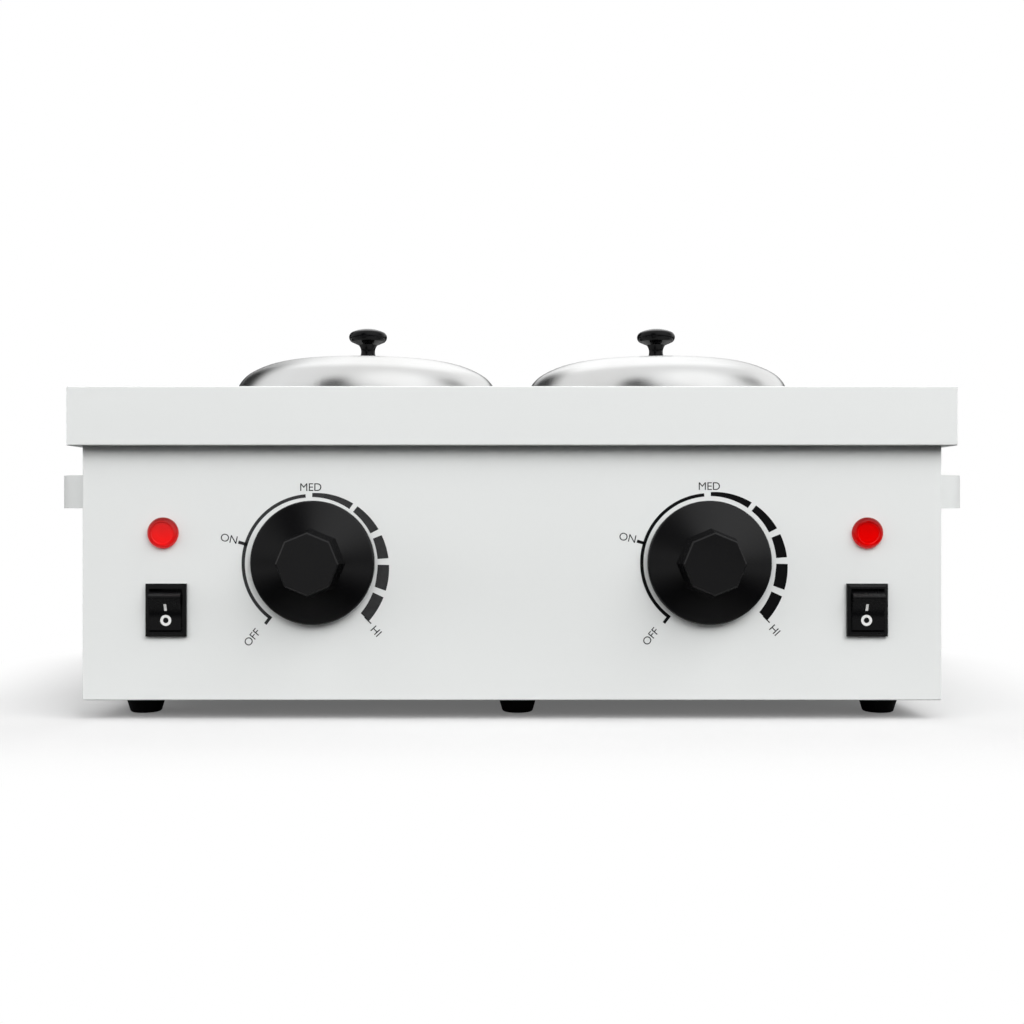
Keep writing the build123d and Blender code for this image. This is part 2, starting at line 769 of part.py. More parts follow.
# Rocker switches, drawn in section with X out of the panel and Y up
switch_names = ("left", "right")
pivot_out = bezel_proud - rocker_pivot_depth
for name, x in zip(switch_names, switch_places_x):
    with BuildPart() as switch_housing:
        with BuildSketch(front_plane(x, switch_height)):
            Rectangle(bezel_width, bezel_height)
        extrude(amount=bezel_proud)
        bezel_face = switch_housing.faces().sort_by(Axis.Y)[0]
        chamfer(bezel_face.edges(), length=bezel_bevel_width, length2=bezel_bevel_depth,
                reference=bezel_face)
        with BuildSketch(front_plane(x, switch_height)):
            Rectangle(switch_body_width, switch_body_height)
        extrude(amount=-switch_body_depth)
        with BuildSketch(front_plane(x, switch_height, bezel_proud)):
            Rectangle(rocker_opening_width, rocker_opening_height)
        extrude(amount=-rocker_well_depth - bezel_proud, mode=Mode.SUBTRACT)
        with BuildSketch(Plane(origin=(x - switch_body_width / 2, front_y, switch_height),
                               x_dir=(0, -1, 0), z_dir=(-1, 0, 0))):
            with Locations((pivot_out, 0)):
                Circle(rocker_pin_radius + running_gap)
        extrude(amount=-switch_body_width, mode=Mode.SUBTRACT)
    save(switch_housing, f"{name}_switch_housing")

    lean = radians(rocker_tilt)
    resting = Plane(origin=(x, front_y - pivot_out, switch_height),
                    x_dir=(0, -cos(lean), -sin(lean)), z_dir=(-1, 0, 0))
    rocker_width = rocker_opening_width - 2 * rocker_side_gap
    with BuildPart() as rocker:
        with BuildSketch(resting):
            with BuildLine():
                FilletPolyline((rocker_corner_out, rocker_corner_up),
                               (rocker_corner_out - rocker_dish, 0),
                               (rocker_corner_out, -rocker_corner_up), radius=rocker_dish_radius)
                Polyline((rocker_corner_out, -rocker_corner_up), (rocker_end_out, -rocker_end_up),
                         (rocker_belly_out, -rocker_belly_up), (rocker_belly_out, rocker_belly_up),
                         (rocker_end_out, rocker_end_up), (rocker_corner_out, rocker_corner_up))
            make_face()
        extrude(amount=rocker_width / 2, both=True)
        fillet(rocker.edges().filter_by(Axis.X).group_by(Axis.Y)[0], radius=rocker_edge)
        with BuildSketch(resting):
            Circle(rocker_pin_radius)
        extrude(amount=rocker_width / 2 + rocker_pin_length, both=True)
    save(rocker, f"{name}_rocker")

# Pilot lamps: a red lens whose spigot passes the panel into a holder with a neon bulb
for name, x in zip(switch_names, lamp_places_x):
    with BuildPart() as lens:
        with BuildSketch(front_section(x, lamp_height)):
            with BuildLine():
                Polyline((0, lens_bore_depth), (0, lens_proud - lens_dish_depth),
                         (lens_dish_radius - lens_dish_slope, lens_proud - lens_dish_depth),
                         (lens_dish_radius, lens_proud), (lens_face_radius, lens_proud))
                RadiusArc((lens_face_radius, lens_proud), (lens_radius, lens_side),
                          lens_shoulder_radius)
                Polyline((lens_radius, lens_side), (lens_radius, 0),
                         (lens_spigot_radius, 0), (lens_spigot_radius, -lens_spigot_length),
                         (lens_bore_radius, -lens_spigot_length),
                         (lens_bore_radius, lens_bore_depth), (0, lens_bore_depth))
            make_face()
        revolve(axis=front_axis(x, lamp_height))
    save(lens, f"{name}_lamp_lens")

    with BuildPart() as lamp_holder:
        with BuildSketch(front_plane(x, lamp_height, -sheet)):
            Circle(lamp_flange_radius)
        extrude(amount=-lamp_flange_thickness)
        with BuildSketch(front_plane(x, lamp_height, -sheet)):
            Circle(lamp_barrel_radius)
        extrude(amount=-lamp_barrel_length)
        with BuildSketch(front_plane(x, lamp_height, -sheet)):
            Circle(lens_spigot_radius + running_gap)
        extrude(amount=-(lens_spigot_length - sheet), mode=Mode.SUBTRACT)
        with BuildSketch(front_plane(x, lamp_height, -sheet)):
            Circle(neon_radius + neon_clearance)
        extrude(amount=-(neon_length - sheet), mode=Mode.SUBTRACT)
    save(lamp_holder, f"{name}_lamp_holder")

neon_tip = lens_bore_depth - neon_tip_gap
with BuildPart() as neon_bulbs:
    for x in lamp_places_x:
        with BuildSketch(front_section(x, lamp_height)):
            with BuildLine():
                Polyline((0, neon_tip), (0, -neon_length), (neon_radius, -neon_length),
                         (neon_radius, neon_tip - neon_radius))
                RadiusArc((neon_radius, neon_tip - neon_radius), (0, neon_tip), -neon_radius)
            make_face()
        revolve(axis=front_axis(x, lamp_height))
save(neon_bulbs, "neon_bulbs")

# Heaters: a band clamped round each well, open at the rear between two ears
heater_inner = well_radius + heater_gap
heater_outer = heater_inner + heater_thickness
ear_reach = heater_outer + heater_ear
heater_middle = heater_bottom + heater_height / 2
for name, s in sides:
    x = s * well_spacing / 2
    with BuildPart() as heater:
        with BuildSketch(Plane.XY.offset(heater_bottom)):
            with Locations((x, well_y)):
                Circle(heater_outer)
            with Locations((x, well_y + ear_reach / 2)):
                Rectangle(heater_slit + 2 * sheet, ear_reach)
            with Locations((x, well_y + ear_reach / 2)):
                Rectangle(heater_slit, ear_reach, mode=Mode.SUBTRACT)
            with Locations((x, well_y)):
                Circle(heater_inner, mode=Mode.SUBTRACT)
        extrude(amount=heater_height)
        with BuildSketch(Plane.YZ.offset(x - heater_slit)):
            with Locations((well_y + ear_reach - heater_ear / 2, heater_middle)):
                Circle(small_screw + screw_clearance)
        extrude(amount=2 * heater_slit, mode=Mode.SUBTRACT)
    save(heater, f"{name}_heater")

ear_outside = heater_slit / 2 + sheet
clamp_y = well_y + ear_reach - heater_ear / 2
with BuildPart() as heater_clamps:
    for name, s in sides:
        head_x = s * well_spacing / 2 + ear_outside
        with Locations(Plane(origin=(head_x, clamp_y, heater_middle),
                             x_dir=(0, 1, 0), z_dir=(1, 0, 0))):
            add(screw(small_screw, small_head, small_head_height,
                      2 * ear_outside + nut_height + clamp_tail))
        with BuildSketch(Plane.YZ.offset(head_x - 2 * ear_outside)):
            with Locations((clamp_y, heater_middle)):
                RegularPolygon(clamp_nut_across_flats / 2, 6, major_radius=False)
                Circle(small_screw, mode=Mode.SUBTRACT)
        extrude(amount=-nut_height)
save(heater_clamps, "heater_clamps")

# Brackets: a strap under each well with two feet on the base plate
for name, s in sides:
    x = s * well_spacing / 2
    half = bracket_span / 2
    with BuildPart() as bracket:
        with BuildSketch(Plane.XZ.offset(-(well_y + bracket_width / 2))):
            with BuildLine():
                under = well_bottom - bracket_sheet
                FilletPolyline((x - half - bracket_foot, plate_top), (x - half, plate_top),
                               (x - half, under), (x + half, under),
                               (x + half, plate_top), (x + half + bracket_foot, plate_top),
                               radius=bracket_bend)
                offset(amount=bracket_sheet, side=Side.LEFT)
            make_face()
        extrude(amount=bracket_width)
        with BuildSketch(Plane.XY.offset(plate_top)):
            with Locations(*[(x + side * bracket_foot_x, well_y) for side in (-1, 1)]):
                Circle(stout_screw + screw_clearance)
        extrude(amount=bracket_sheet, mode=Mode.SUBTRACT)
    save(bracket, f"{name}_bracket")

on_bracket_feet = [Plane(origin=(x, y, plate_top + bracket_sheet), z_dir=(0, 0, 1))
                   for x, y in bracket_screw_places]
with BuildPart() as bracket_screws:
    with Locations(*on_bracket_feet):
        add(screw(stout_screw, stout_head, stout_head_height,
                  bracket_sheet + sheet + bracket_screw_tail))
save(bracket_screws, "bracket_screws")

# Sensors: a bulb under each well with its thin tube back to the thermostat
bulb_rear = well_y - bracket_width / 2 - bulb_bracket_gap
bulb_front = bulb_rear - bulb_length
bulb_z = well_bottom - bulb_gap - bulb_radius
cup_back = front_y + sheet + thermostat_depth + thermostat_cup_depth
riser_y = cup_back + capillary_stand_off
entry_z = dial_height - capillary_drop
for name, s in sides:
    x = dial_x[s]
    with BuildPart() as sensor:
        with BuildSketch(Plane.XZ.offset(-bulb_rear)):
            with Locations((x, bulb_z)):
                Circle(bulb_radius)
        extrude(amount=bulb_length)
        fillet(sensor.edges(), radius=bulb_radius / 2)
        with BuildLine(Plane.YZ.offset(x)) as tube_path:
            FilletPolyline((bulb_front + bulb_radius / 2, bulb_z), (riser_y, bulb_z),
                           (riser_y, entry_z), (cup_back, entry_z), radius=capillary_bend)
        with BuildSketch(Plane(origin=tube_path.line @ 0, z_dir=tube_path.line % 0)):
            Circle(capillary_radius)
        sweep(path=tube_path.line)
    save(sensor, f"{name}_sensor")

# Thermal fuses, one against the underside of each well
with BuildPart() as thermal_fuses:
    for name, s in sides:
        x = s * well_spacing - dial_x[s]
        with BuildSketch(Plane.XZ.offset(-bulb_rear)):
            with Locations((x, well_bottom - bulb_gap - fuse_radius)):
                Circle(fuse_radius)
        extrude(amount=fuse_length)
save(thermal_fuses, "thermal_fuses")

# Spade terminals behind the switches, thermostats and lamps
thermostat_back = sheet + thermostat_depth
lamp_back = sheet + lamp_barrel_length
with BuildPart() as spade_terminals:
    for x in switch_places_x:
        with BuildSketch(front_plane(x, switch_height, -switch_body_depth)):
            with GridLocations(0, switch_blade_spacing, 1, 2):
                Rectangle(blade_width, blade_thickness)
        extrude(amount=-blade_length)
    for name, s in sides:
        with BuildSketch(front_plane(dial_x[s], dial_height + thermostat_blade_rise,
                                     -thermostat_back)):
            with GridLocations(thermostat_blade_spacing, 0, 2, 1):
                Rectangle(blade_width, blade_thickness)
        extrude(amount=-blade_length)
    for x in lamp_places_x:
        with BuildSketch(front_plane(x, lamp_height, -lamp_back)):
            with GridLocations(0, lamp_blade_spacing, 1, 2):
                Rectangle(blade_width, blade_thickness)
        extrude(amount=-blade_length)
save(spade_terminals, "spade_terminals")

# Mains inlet in the rear panel, its three pins and two screws
socket_floor = inlet_flange_thickness - inlet_socket_depth
pin_places = ((-inlet_pin_spacing / 2, -inlet_earth_rise / 2),
              (inlet_pin_spacing / 2, -inlet_earth_rise / 2), (0, inlet_earth_rise / 2))
with BuildPart() as mains_inlet:
    with BuildSketch(rear_plane(inlet_x, inlet_z)):
        RectangleRounded(inlet_flange_width, inlet_flange_height, inlet_flange_corner)
    extrude(amount=inlet_flange_thickness)
    fillet(mains_inlet.edges().group_by(Axis.Y)[-1], radius=inlet_flange_edge)
    with BuildSketch(rear_plane(inlet_x, inlet_z)):
        RectangleRounded(inlet_body_width, inlet_body_height, inlet_body_corner)
    extrude(amount=-inlet_body_depth)
    with BuildSketch(rear_plane(inlet_x, inlet_z, inlet_flange_thickness)):
        Rectangle(inlet_socket_width, inlet_socket_height)
        chamfer(vertices().group_by(Axis.Y)[-1], length=inlet_socket_corner)
    extrude(amount=-inlet_socket_depth, mode=Mode.SUBTRACT)
    with BuildSketch(rear_plane(inlet_x, inlet_z, socket_floor)):
        with Locations(*pin_places):
            Rectangle(inlet_pin_width, inlet_pin_height)
    extrude(amount=-inlet_body_depth, mode=Mode.SUBTRACT)
    with BuildSketch(rear_plane(inlet_x, inlet_z, inlet_flange_thickness)):
        with GridLocations(inlet_screw_spacing, 0, 2, 1):
            Circle(small_screw + screw_clearance)
    extrude(amount=-inlet_flange_thickness, mode=Mode.SUBTRACT)
save(mains_inlet, "mains_inlet")

pin_tail = inlet_body_depth + blade_length
with BuildPart() as inlet_pins:
    with BuildSketch(rear_plane(inlet_x, inlet_z, -pin_tail)):
        with Locations(*pin_places):
            Rectangle(inlet_pin_width, inlet_pin_height)
    extrude(amount=pin_tail + socket_floor + inlet_pin_length)
save(inlet_pins, "inlet_pins")

with BuildPart() as inlet_screws:
    with Locations(*[rear_plane(inlet_x + side * inlet_screw_spacing / 2, inlet_z,
                                inlet_flange_thickness) for side in (-1, 1)]):
        add(screw(small_screw, small_head, small_head_height,
                  inlet_flange_thickness + sheet + screw_tail))
save(inlet_screws, "inlet_screws")

# Terminal block on the base plate behind the wells
block_y = rear_y - block_back
block_pitch = block_length / block_ways
with BuildPart() as terminal_block:
    with BuildSketch(Plane.XY.offset(plate_top)):
        with Locations((0, block_y)):
            RectangleRounded(block_length, block_width, block_corner)
    extrude(amount=block_height)
    with BuildSketch(Plane.XY.offset(plate_top + block_height)):
        with Locations((0, block_y)):
            with GridLocations(block_pitch, 1, block_ways - 1, 1):
                Rectangle(block_slot, block_width)
    extrude(amount=-block_height / 2, mode=Mode.SUBTRACT)
    with BuildSketch(Plane.XY.offset(plate_top + block_height)):
        with Locations((0, block_y)):
            with GridLocations(block_pitch, 1, block_ways, 1):
                Circle(block_screw_hole)
    extrude(amount=-block_height / 2, mode=Mode.SUBTRACT)
save(terminal_block, "terminal_block")

# Wiring, each lead swept along straight runs and bends from face to face
wire_floor = plate_top + wire_rise
blade_end = front_y + blade_length + wire_gap
switch_end = blade_end + switch_body_depth
thermostat_end = blade_end + thermostat_back
lamp_end = blade_end + lamp_back
block_front = block_y - block_width / 2 - wire_gap
block_rear = block_y + block_width / 2 + wire_gap
pin_end = rear_y - pin_tail - wire_gap


def way_x(number):
    """X of one way of the terminal block, counted from the left."""
    return (number - (block_ways - 1) / 2) * block_pitch


def lead(points):
    """A round lead along its run of points, with a bend at every corner."""
    with BuildPart() as form:
        with BuildLine() as run:
            FilletPolyline(*points, radius=wire_bend)
        with BuildSketch(Plane(origin=run.line @ 0, z_dir=run.line % 0)):
            Circle(wire_radius)
        sweep(path=run.line)
    return form.part


with BuildPart() as wiring:
    for (name, s), switch_x, lamp_x in zip(sides, switch_places_x, lamp_places_x):
        upper_blade = switch_height + switch_blade_spacing / 2
        lower_blade = switch_height - switch_blade_spacing / 2
        lamp_blade = lamp_height + lamp_blade_spacing / 2
        blade_z = dial_height + thermostat_blade_rise
        outer_blade = dial_x[s] + s * thermostat_blade_spacing / 2
        inner_blade = dial_x[s] - s * thermostat_blade_spacing / 2
        supply_way = way_x(2) if s < 0 else way_x(3)
        return_way = way_x(1) if s < 0 else way_x(4)
        # Block to switch
        add(lead([(supply_way, block_front, wire_floor), (supply_way, block_front - 25, wire_floor),
                  (s * 5, block_front - 45, wire_floor), (s * 5, riser_y + 10, wire_floor),
                  (s * 95, riser_y + 5, wire_floor), (switch_x, switch_end + 12, lower_blade),
                  (switch_x, switch_end + 10, upper_blade), (switch_x, switch_end, upper_blade)]))
        # Switch to thermostat
        add(lead([(switch_x, switch_end, lower_blade), (switch_x, switch_end + 9, lower_blade),
                  (outer_blade + s * 18, thermostat_end + 11, blade_z - 16),
                  (outer_blade, thermostat_end + 10, blade_z), (outer_blade, thermostat_end, blade_z)]))
        # Block to lamp
        add(lead([(return_way, block_front, wire_floor), (return_way, block_front - 12, wire_floor),
                  (s * 11, block_front - 30, wire_floor), (s * 11, riser_y + 18, wire_floor),
                  (s * 100, riser_y + 14, wire_floor), (lamp_x, riser_y + 13, wire_floor + 9),
                  (lamp_x, lamp_end + 12, lamp_blade), (lamp_x, lamp_end, lamp_blade)]))
        # Thermostat to heater
        lead_offset = abs(inner_blade - s * well_spacing / 2)
        near_edge = max(lead_offset - wire_radius, 0)
        heater_face = well_y - sqrt(heater_outer ** 2 - near_edge ** 2)
        with BuildSketch(Plane.XZ.offset(-thermostat_end)):
            with Locations((inner_blade, blade_z)):
                Circle(wire_radius)
        extrude(amount=-(heater_face - thermostat_end - wire_gap))
    low_pin = inlet_z - inlet_earth_rise / 2
    near_pin = inlet_x - inlet_pin_spacing / 2
    far_pin = inlet_x + inlet_pin_spacing / 2
    # Inlet to block: live, neutral and earth
    add(lead([(near_pin, pin_end, low_pin), (near_pin, pin_end - 9, low_pin),
              (way_x(5) + 38, block_rear + 6, wire_floor + 2),
              (way_x(5), block_rear + 8, wire_floor), (way_x(5), block_rear, wire_floor)]))
    add(lead([(far_pin, pin_end, low_pin), (far_pin, pin_end - 21, low_pin),
              (way_x(5) + 40, block_rear + 15, low_pin + 4),
              (way_x(4), block_rear + 14, wire_floor), (way_x(4), block_rear, wire_floor)]))
    add(lead([(inlet_x, pin_end, low_pin + inlet_earth_rise),
              (inlet_x, pin_end - 10, low_pin + inlet_earth_rise),
              (way_x(5) + 18, block_rear + 20, low_pin + 12),
              (way_x(3), block_rear + 20, wire_floor), (way_x(3), block_rear, wire_floor)]))
save(wiring, "wiring")
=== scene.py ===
"""The looks of a double wax warmer: its finishes, printed scales, marks, screws, light and camera.

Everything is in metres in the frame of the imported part: +Z up, the control panel faces -Y.
"""
import json
import logging
import math
from dataclasses import dataclass, field
from enum import Enum
from typing import Callable, Sequence

import bpy
from mathutils import Matrix, Vector

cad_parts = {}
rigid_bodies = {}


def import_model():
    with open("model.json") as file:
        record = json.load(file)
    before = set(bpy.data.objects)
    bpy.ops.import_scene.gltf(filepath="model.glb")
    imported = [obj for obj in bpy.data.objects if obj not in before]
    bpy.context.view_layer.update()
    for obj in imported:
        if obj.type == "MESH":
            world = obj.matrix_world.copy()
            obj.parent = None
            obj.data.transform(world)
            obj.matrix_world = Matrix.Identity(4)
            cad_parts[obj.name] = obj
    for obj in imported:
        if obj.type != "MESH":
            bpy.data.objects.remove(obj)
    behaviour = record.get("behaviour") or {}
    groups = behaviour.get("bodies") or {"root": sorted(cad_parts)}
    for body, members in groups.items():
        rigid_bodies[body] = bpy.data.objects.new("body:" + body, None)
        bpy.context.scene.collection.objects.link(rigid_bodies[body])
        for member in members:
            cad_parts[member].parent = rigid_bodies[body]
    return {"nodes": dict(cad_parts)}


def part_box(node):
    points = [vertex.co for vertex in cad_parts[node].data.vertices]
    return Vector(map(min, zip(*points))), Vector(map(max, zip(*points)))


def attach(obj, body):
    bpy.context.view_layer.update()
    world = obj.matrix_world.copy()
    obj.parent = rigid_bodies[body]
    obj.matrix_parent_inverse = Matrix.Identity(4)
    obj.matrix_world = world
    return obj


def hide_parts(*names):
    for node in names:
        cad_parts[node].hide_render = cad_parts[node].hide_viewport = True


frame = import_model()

MM = 0.001
HOUSING = "housing"
TOP, BOTTOM = 1, -1
FLAT = 0.9  # a face is flat when its normal has more than this along Z

Colour = tuple[float, float, float]
Axes = tuple[float, float, float]
Point = tuple[float, float]
Material = bpy.types.Material
Piece = bpy.types.Object
Socket = bpy.types.NodeSocket
Number = Socket | float
Triple = Socket | Vector | Colour

log = logging.getLogger("wax_warmer")


def srgb(red: int, green: int, blue: int) -> Colour:
    """Turns a colour given as 0 to 255 on screen into the linear colour a shader takes."""
    shares = [level / 255 for level in (red, green, blue)]
    return tuple(share / 12.92 if share <= 0.04045 else ((share + 0.055) / 1.055) ** 2.4
                 for share in shares)


class Side(Enum):
    """The two halves of the warmer, as seen from the front."""

    LEFT = "left"
    RIGHT = "right"

    def node(self, piece: str) -> str:
        """Name of this side's CAD node."""
        return f"{self.value}_{piece}"

    def body(self, unit: str) -> str:
        """Name of this side's moving body."""
        return f"{self.value}_{unit}_unit"


def both(*pieces: str) -> tuple[str, ...]:
    """Names of the CAD nodes that pieces have on both sides."""
    return tuple(side.node(piece) for piece in pieces for side in Side)


def middle(node: str) -> Vector:
    """Middle of a CAD node's box."""
    low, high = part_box(node)
    return (low + high) / 2


def adjust(thing: bpy.types.bpy_struct, **settings: object) -> None:
    """Sets several options of a node, a modifier or another of Blender's things."""
    for key, value in settings.items():
        setattr(thing, key, value)


def hang(name: str, data: bpy.types.ID) -> Piece:
    """Puts data into the scene as a new object.

    Args:
        name: the object's name.
        data: its mesh, curve, lamp or camera.

    Returns:
        The object.
    """
    thing = bpy.data.objects.new(name, data)
    bpy.context.collection.objects.link(thing)
    return thing


class Nodes:
    """A node tree that grows one node at a time."""

    def __init__(self, tree: bpy.types.NodeTree) -> None:
        """Starts on a tree."""
        self.tree = tree

    def feed(self, socket: Socket, value: Number | Triple) -> None:
        """Links an input to another node's output, or gives it a value of its own.

        Args:
            socket: the input.
            value: an output, a number, a vector or a colour.
        """
        if isinstance(value, Socket):
            self.tree.links.new(value, socket)
        elif socket.type == "RGBA":
            socket.default_value = (*value, 1.0)
        else:
            socket.default_value = value

    def add(self, kind: str, sockets: dict | None = None, **settings: object) -> bpy.types.Node:
        """Adds a node.

        Args:
            kind: the node's type.
            sockets: what feeds its inputs, by their names or numbers.
            settings: the node's own options.

        Returns:
            The new node.
        """
        node = self.tree.nodes.new(kind)
        adjust(node, **settings)
        for key, value in (sockets or {}).items():
            self.feed(node.inputs[key], value)
        return node

    def span(self, source: Number, low: float, high: float, start: float = 0.3,
             end: float = 0.7, **settings: object) -> Socket:
        """Stretches a value, so that it is low where it was start and high where it was end."""
        sockets = {"Value": source, "From Min": start, "From Max": end, "To Min": low,
                   "To Max": high}
        return self.add("ShaderNodeMapRange", sockets, **settings).outputs["Result"]

    def math(self, operation: str, first: Number, second: Number) -> Socket:
        """One step of arithmetic by its name, such as MULTIPLY, on two numbers or sockets."""
        node = self.add("ShaderNodeMath", {0: first, 1: second}, operation=operation)
        return node.outputs["Value"]

    def vector(self, operation: str, first: Triple, second: Triple = (0.0, 0.0, 0.0)) -> Socket:
        """One step of arithmetic on vectors; LENGTH and DOT_PRODUCT give a number."""
        node = self.add("ShaderNodeVectorMath", {0: first, 1: second}, operation=operation)
        return node.outputs["Value" if operation in ("LENGTH", "DOT_PRODUCT") else "Vector"]

    def apart(self, vector: Socket) -> bpy.types.NodeOutputs:
        """X, Y and Z of a vector."""
        return self.add("ShaderNodeSeparateXYZ", {"Vector": vector}).outputs

    def distance(self, across: Socket, along: Socket) -> Socket:
        """Distance from the middle of a plane to the point at two values."""
        flat = self.add("ShaderNodeCombineXYZ", {"X": across, "Y": along})
        return self.vector("LENGTH", flat.outputs["Vector"])

    def mixed(self, share: Number, first: Number, second: Number) -> Socket:
        """Mixes two numbers; share is how much of the second shows."""
        return self.add("ShaderNodeMix", {0: share, 2: first, 3: second}).outputs[0]

    def blend(self, share: Number, first: Triple, second: Triple) -> Socket:
        """Mixes two colours; share is how much of the second shows."""
        return self.add("ShaderNodeMix", {0: share, 6: first, 7: second},
                        data_type="RGBA").outputs[2]


@dataclass(frozen=True)
class Grain:
    """Cloudy noise, and the dent that it leaves.

    Its scale is in cells to the metre and its depth in metres. Strength is the share of the
    dent that shows, detail how many finer layers the noise has, and rough how strong they are.
    """

    scale: float
    depth: float = 0.0
    strength: float = 0.6
    detail: float = 2.0
    rough: float = 0.5


class Shader(Nodes):
    """A material whose nodes are added one at a time behind one surface shader."""

    def __init__(self, name: str) -> None:
        """Starts a material.

        Args:
            name: its name.
        """
        self.material = bpy.data.materials.new(name)
        self.material.use_nodes = True
        super().__init__(self.material.node_tree)
        self.surface = self.tree.nodes["Principled BSDF"]
        self.place = self.add("ShaderNodeTexCoord").outputs["Object"]

    def drive(self, socket: str, value: Number | Triple) -> None:
        """Feeds one of the surface shader's sockets."""
        self.feed(self.surface.inputs[socket], value)

    def noise(self, grain: Grain, at: Socket | None = None) -> Socket:
        """A grain's noise from 0 to 1, read at the object's own place or at another."""
        sockets = {"Vector": at or self.place, "Scale": grain.scale, "Detail": grain.detail,
                   "Roughness": grain.rough}
        return self.add("ShaderNodeTexNoise", sockets).outputs["Fac"]

    def dent(self, height: Socket, grain: Grain, under: Socket | None = None) -> Socket:
        """Dents the surface.

        Args:
            height: the dent's shape from 0 to 1.
            grain: how deep and how strong it is.
            under: a coarser dent that this one lies on.

        Returns:
            The dented normal, also linked to the surface.
        """
        sockets = {"Height": height, "Distance": grain.depth, "Strength": grain.strength}
        if under is not None:
            sockets["Normal"] = under
        normal = self.add("ShaderNodeBump", sockets).outputs["Normal"]
        self.drive("Normal", normal)
        return normal


@dataclass(frozen=True)
class Finish:
    """A finish: two tones that cloud into each other, and the limits of its roughness."""

    name: str
    colour: Colour
    tone: Colour
    roughness: Point
    gloss: float = field(default=0.5, kw_only=True)

    def build(self) -> Material:
        """Makes the material.

        Returns:
            The material.
        """
        shader = Shader(self.name)
        shader.drive("Specular IOR Level", self.gloss)
        self.dress(shader)
        return shader.material

    def dress(self, shader: Shader) -> None:
        """Gives a material all that is this finish's own."""
        raise NotImplementedError(self.name)

    def cover(self, shader: Shader, tones: Socket, worn: Socket) -> None:
        """Spreads colour and roughness over the surface.

        Args:
            shader: the material.
            tones: the value that leads from one tone to the other.
            worn: the value that leads from smooth to rough.
        """
        clouded = shader.span(tones, 0.0, 1.0)
        shader.drive("Base Color", shader.blend(clouded, self.colour, self.tone))
        shader.drive("Roughness", shader.span(worn, *self.roughness))


@dataclass(frozen=True)
class Skin(Finish):
    """A finish with a fine grain, which lies on broad waves where it has them.

    The clouds of its colour have a share in its roughness, and the grain has the rest.
    """

    grain: Grain
    waves: Grain | None
    cloud: Grain
    cloud_share: float

    def dress(self, shader: Shader) -> None:
        """Lays the grain at the object's own place."""
        self.lay(shader, shader.place)

    def lay(self, shader: Shader, at: Socket) -> None:
        """Lays the grain on the waves.

        Args:
            shader: the material.
            at: the place that both are read at.
        """
        cloud, grain = shader.noise(self.cloud), shader.noise(self.grain, at)
        self.cover(shader, cloud, shader.mixed(self.cloud_share, grain, cloud))
        under = self.waves and shader.dent(shader.noise(self.waves, at), self.waves)
        shader.dent(grain, self.grain, under)


@dataclass(frozen=True)
class PowderCoat(Skin):
    """Satin powder coat on sheet steel, with its fine orange peel on broad waves."""

    roughness: Point = (0.40, 0.50)
    gloss: float = 0.35
    grain: Grain = Grain(620.0, 0.008 * MM, 0.5, 1.5)
    waves: Grain = Grain(30.0, 0.03 * MM, 0.2, 1.0)
    cloud: Grain = Grain(7.0, detail=3.0)
    cloud_share: float = 0.0


@dataclass(frozen=True)
class SpunMetal(Skin):
    """Smeared metal turned on a lathe, with fine rings about each well's axis as its grain.

    Both sides share it, so the rings are centred on the mirrored place. Stretch is how far
    the rings draw a highlight out, along the direction that stretch_turn gives.
    """

    waves: Grain = Grain(55.0, 0.04 * MM, 0.4)
    cloud: Grain = Grain(24.0, detail=3.0)
    cloud_share: float = 0.4
    stretch: float = field(kw_only=True)
    stretch_turn: float = 0.25

    def dress(self, shader: Shader) -> None:
        """Makes it metal and lays the grain by the radius and the height.

        Args:
            shader: the material.
        """
        shader.drive("Metallic", 1.0)
        shader.drive("Anisotropic", self.stretch)
        shader.drive("Anisotropic Rotation", self.stretch_turn)
        tangent = shader.add("ShaderNodeTangent", direction_type="RADIAL", axis="Z")
        shader.drive("Tangent", tangent.outputs["Tangent"])
        centre, split = middle(Side.RIGHT.node("well")), shader.apart(shader.place)
        mirrored = shader.math("ABSOLUTE", split["X"], 0.0)
        radius = shader.distance(shader.math("SUBTRACT", mirrored, centre.x),
                                 shader.math("SUBTRACT", split["Y"], centre.y))
        ringed = shader.add("ShaderNodeCombineXYZ", {"X": radius, "Z": split["Z"]})
        self.lay(shader, ringed.outputs["Vector"])


@dataclass(frozen=True)
class PlatedMetal(Skin):
    """Plated or drawn metal, mottled, with fine drawing lines along Z as its grain."""

    roughness: Point = (0.28, 0.46)
    grain: Grain = Grain(1.0, 0.01 * MM, 0.5, 3.0, 0.6)
    waves: None = None
    cloud: Grain = Grain(160.0, detail=4.0, rough=0.6)
    cloud_share: float = 0.0
    line_scale: Axes = (900.0, 900.0, 60.0)

    def dress(self, shader: Shader) -> None:
        """Makes it metal and draws the grain out into lines.

        Args:
            shader: the material.
        """
        shader.drive("Metallic", 1.0)
        drawn = shader.add("ShaderNodeMapping", {"Vector": shader.place,
                                                 "Scale": self.line_scale})
        self.lay(shader, drawn.outputs["Vector"])


@dataclass(frozen=True)
class Moulding(Skin):
    """Moulded plastic or rubber, with the grain of its mould on waves of its flow."""

    grain: Grain = Grain(1400.0, 0.01 * MM)
    waves: Grain = Grain(90.0, 0.02 * MM, 0.3, 1.0)
    cloud: Grain = Grain(38.0, detail=4.0, rough=0.6)
    cloud_share: float = 0.5


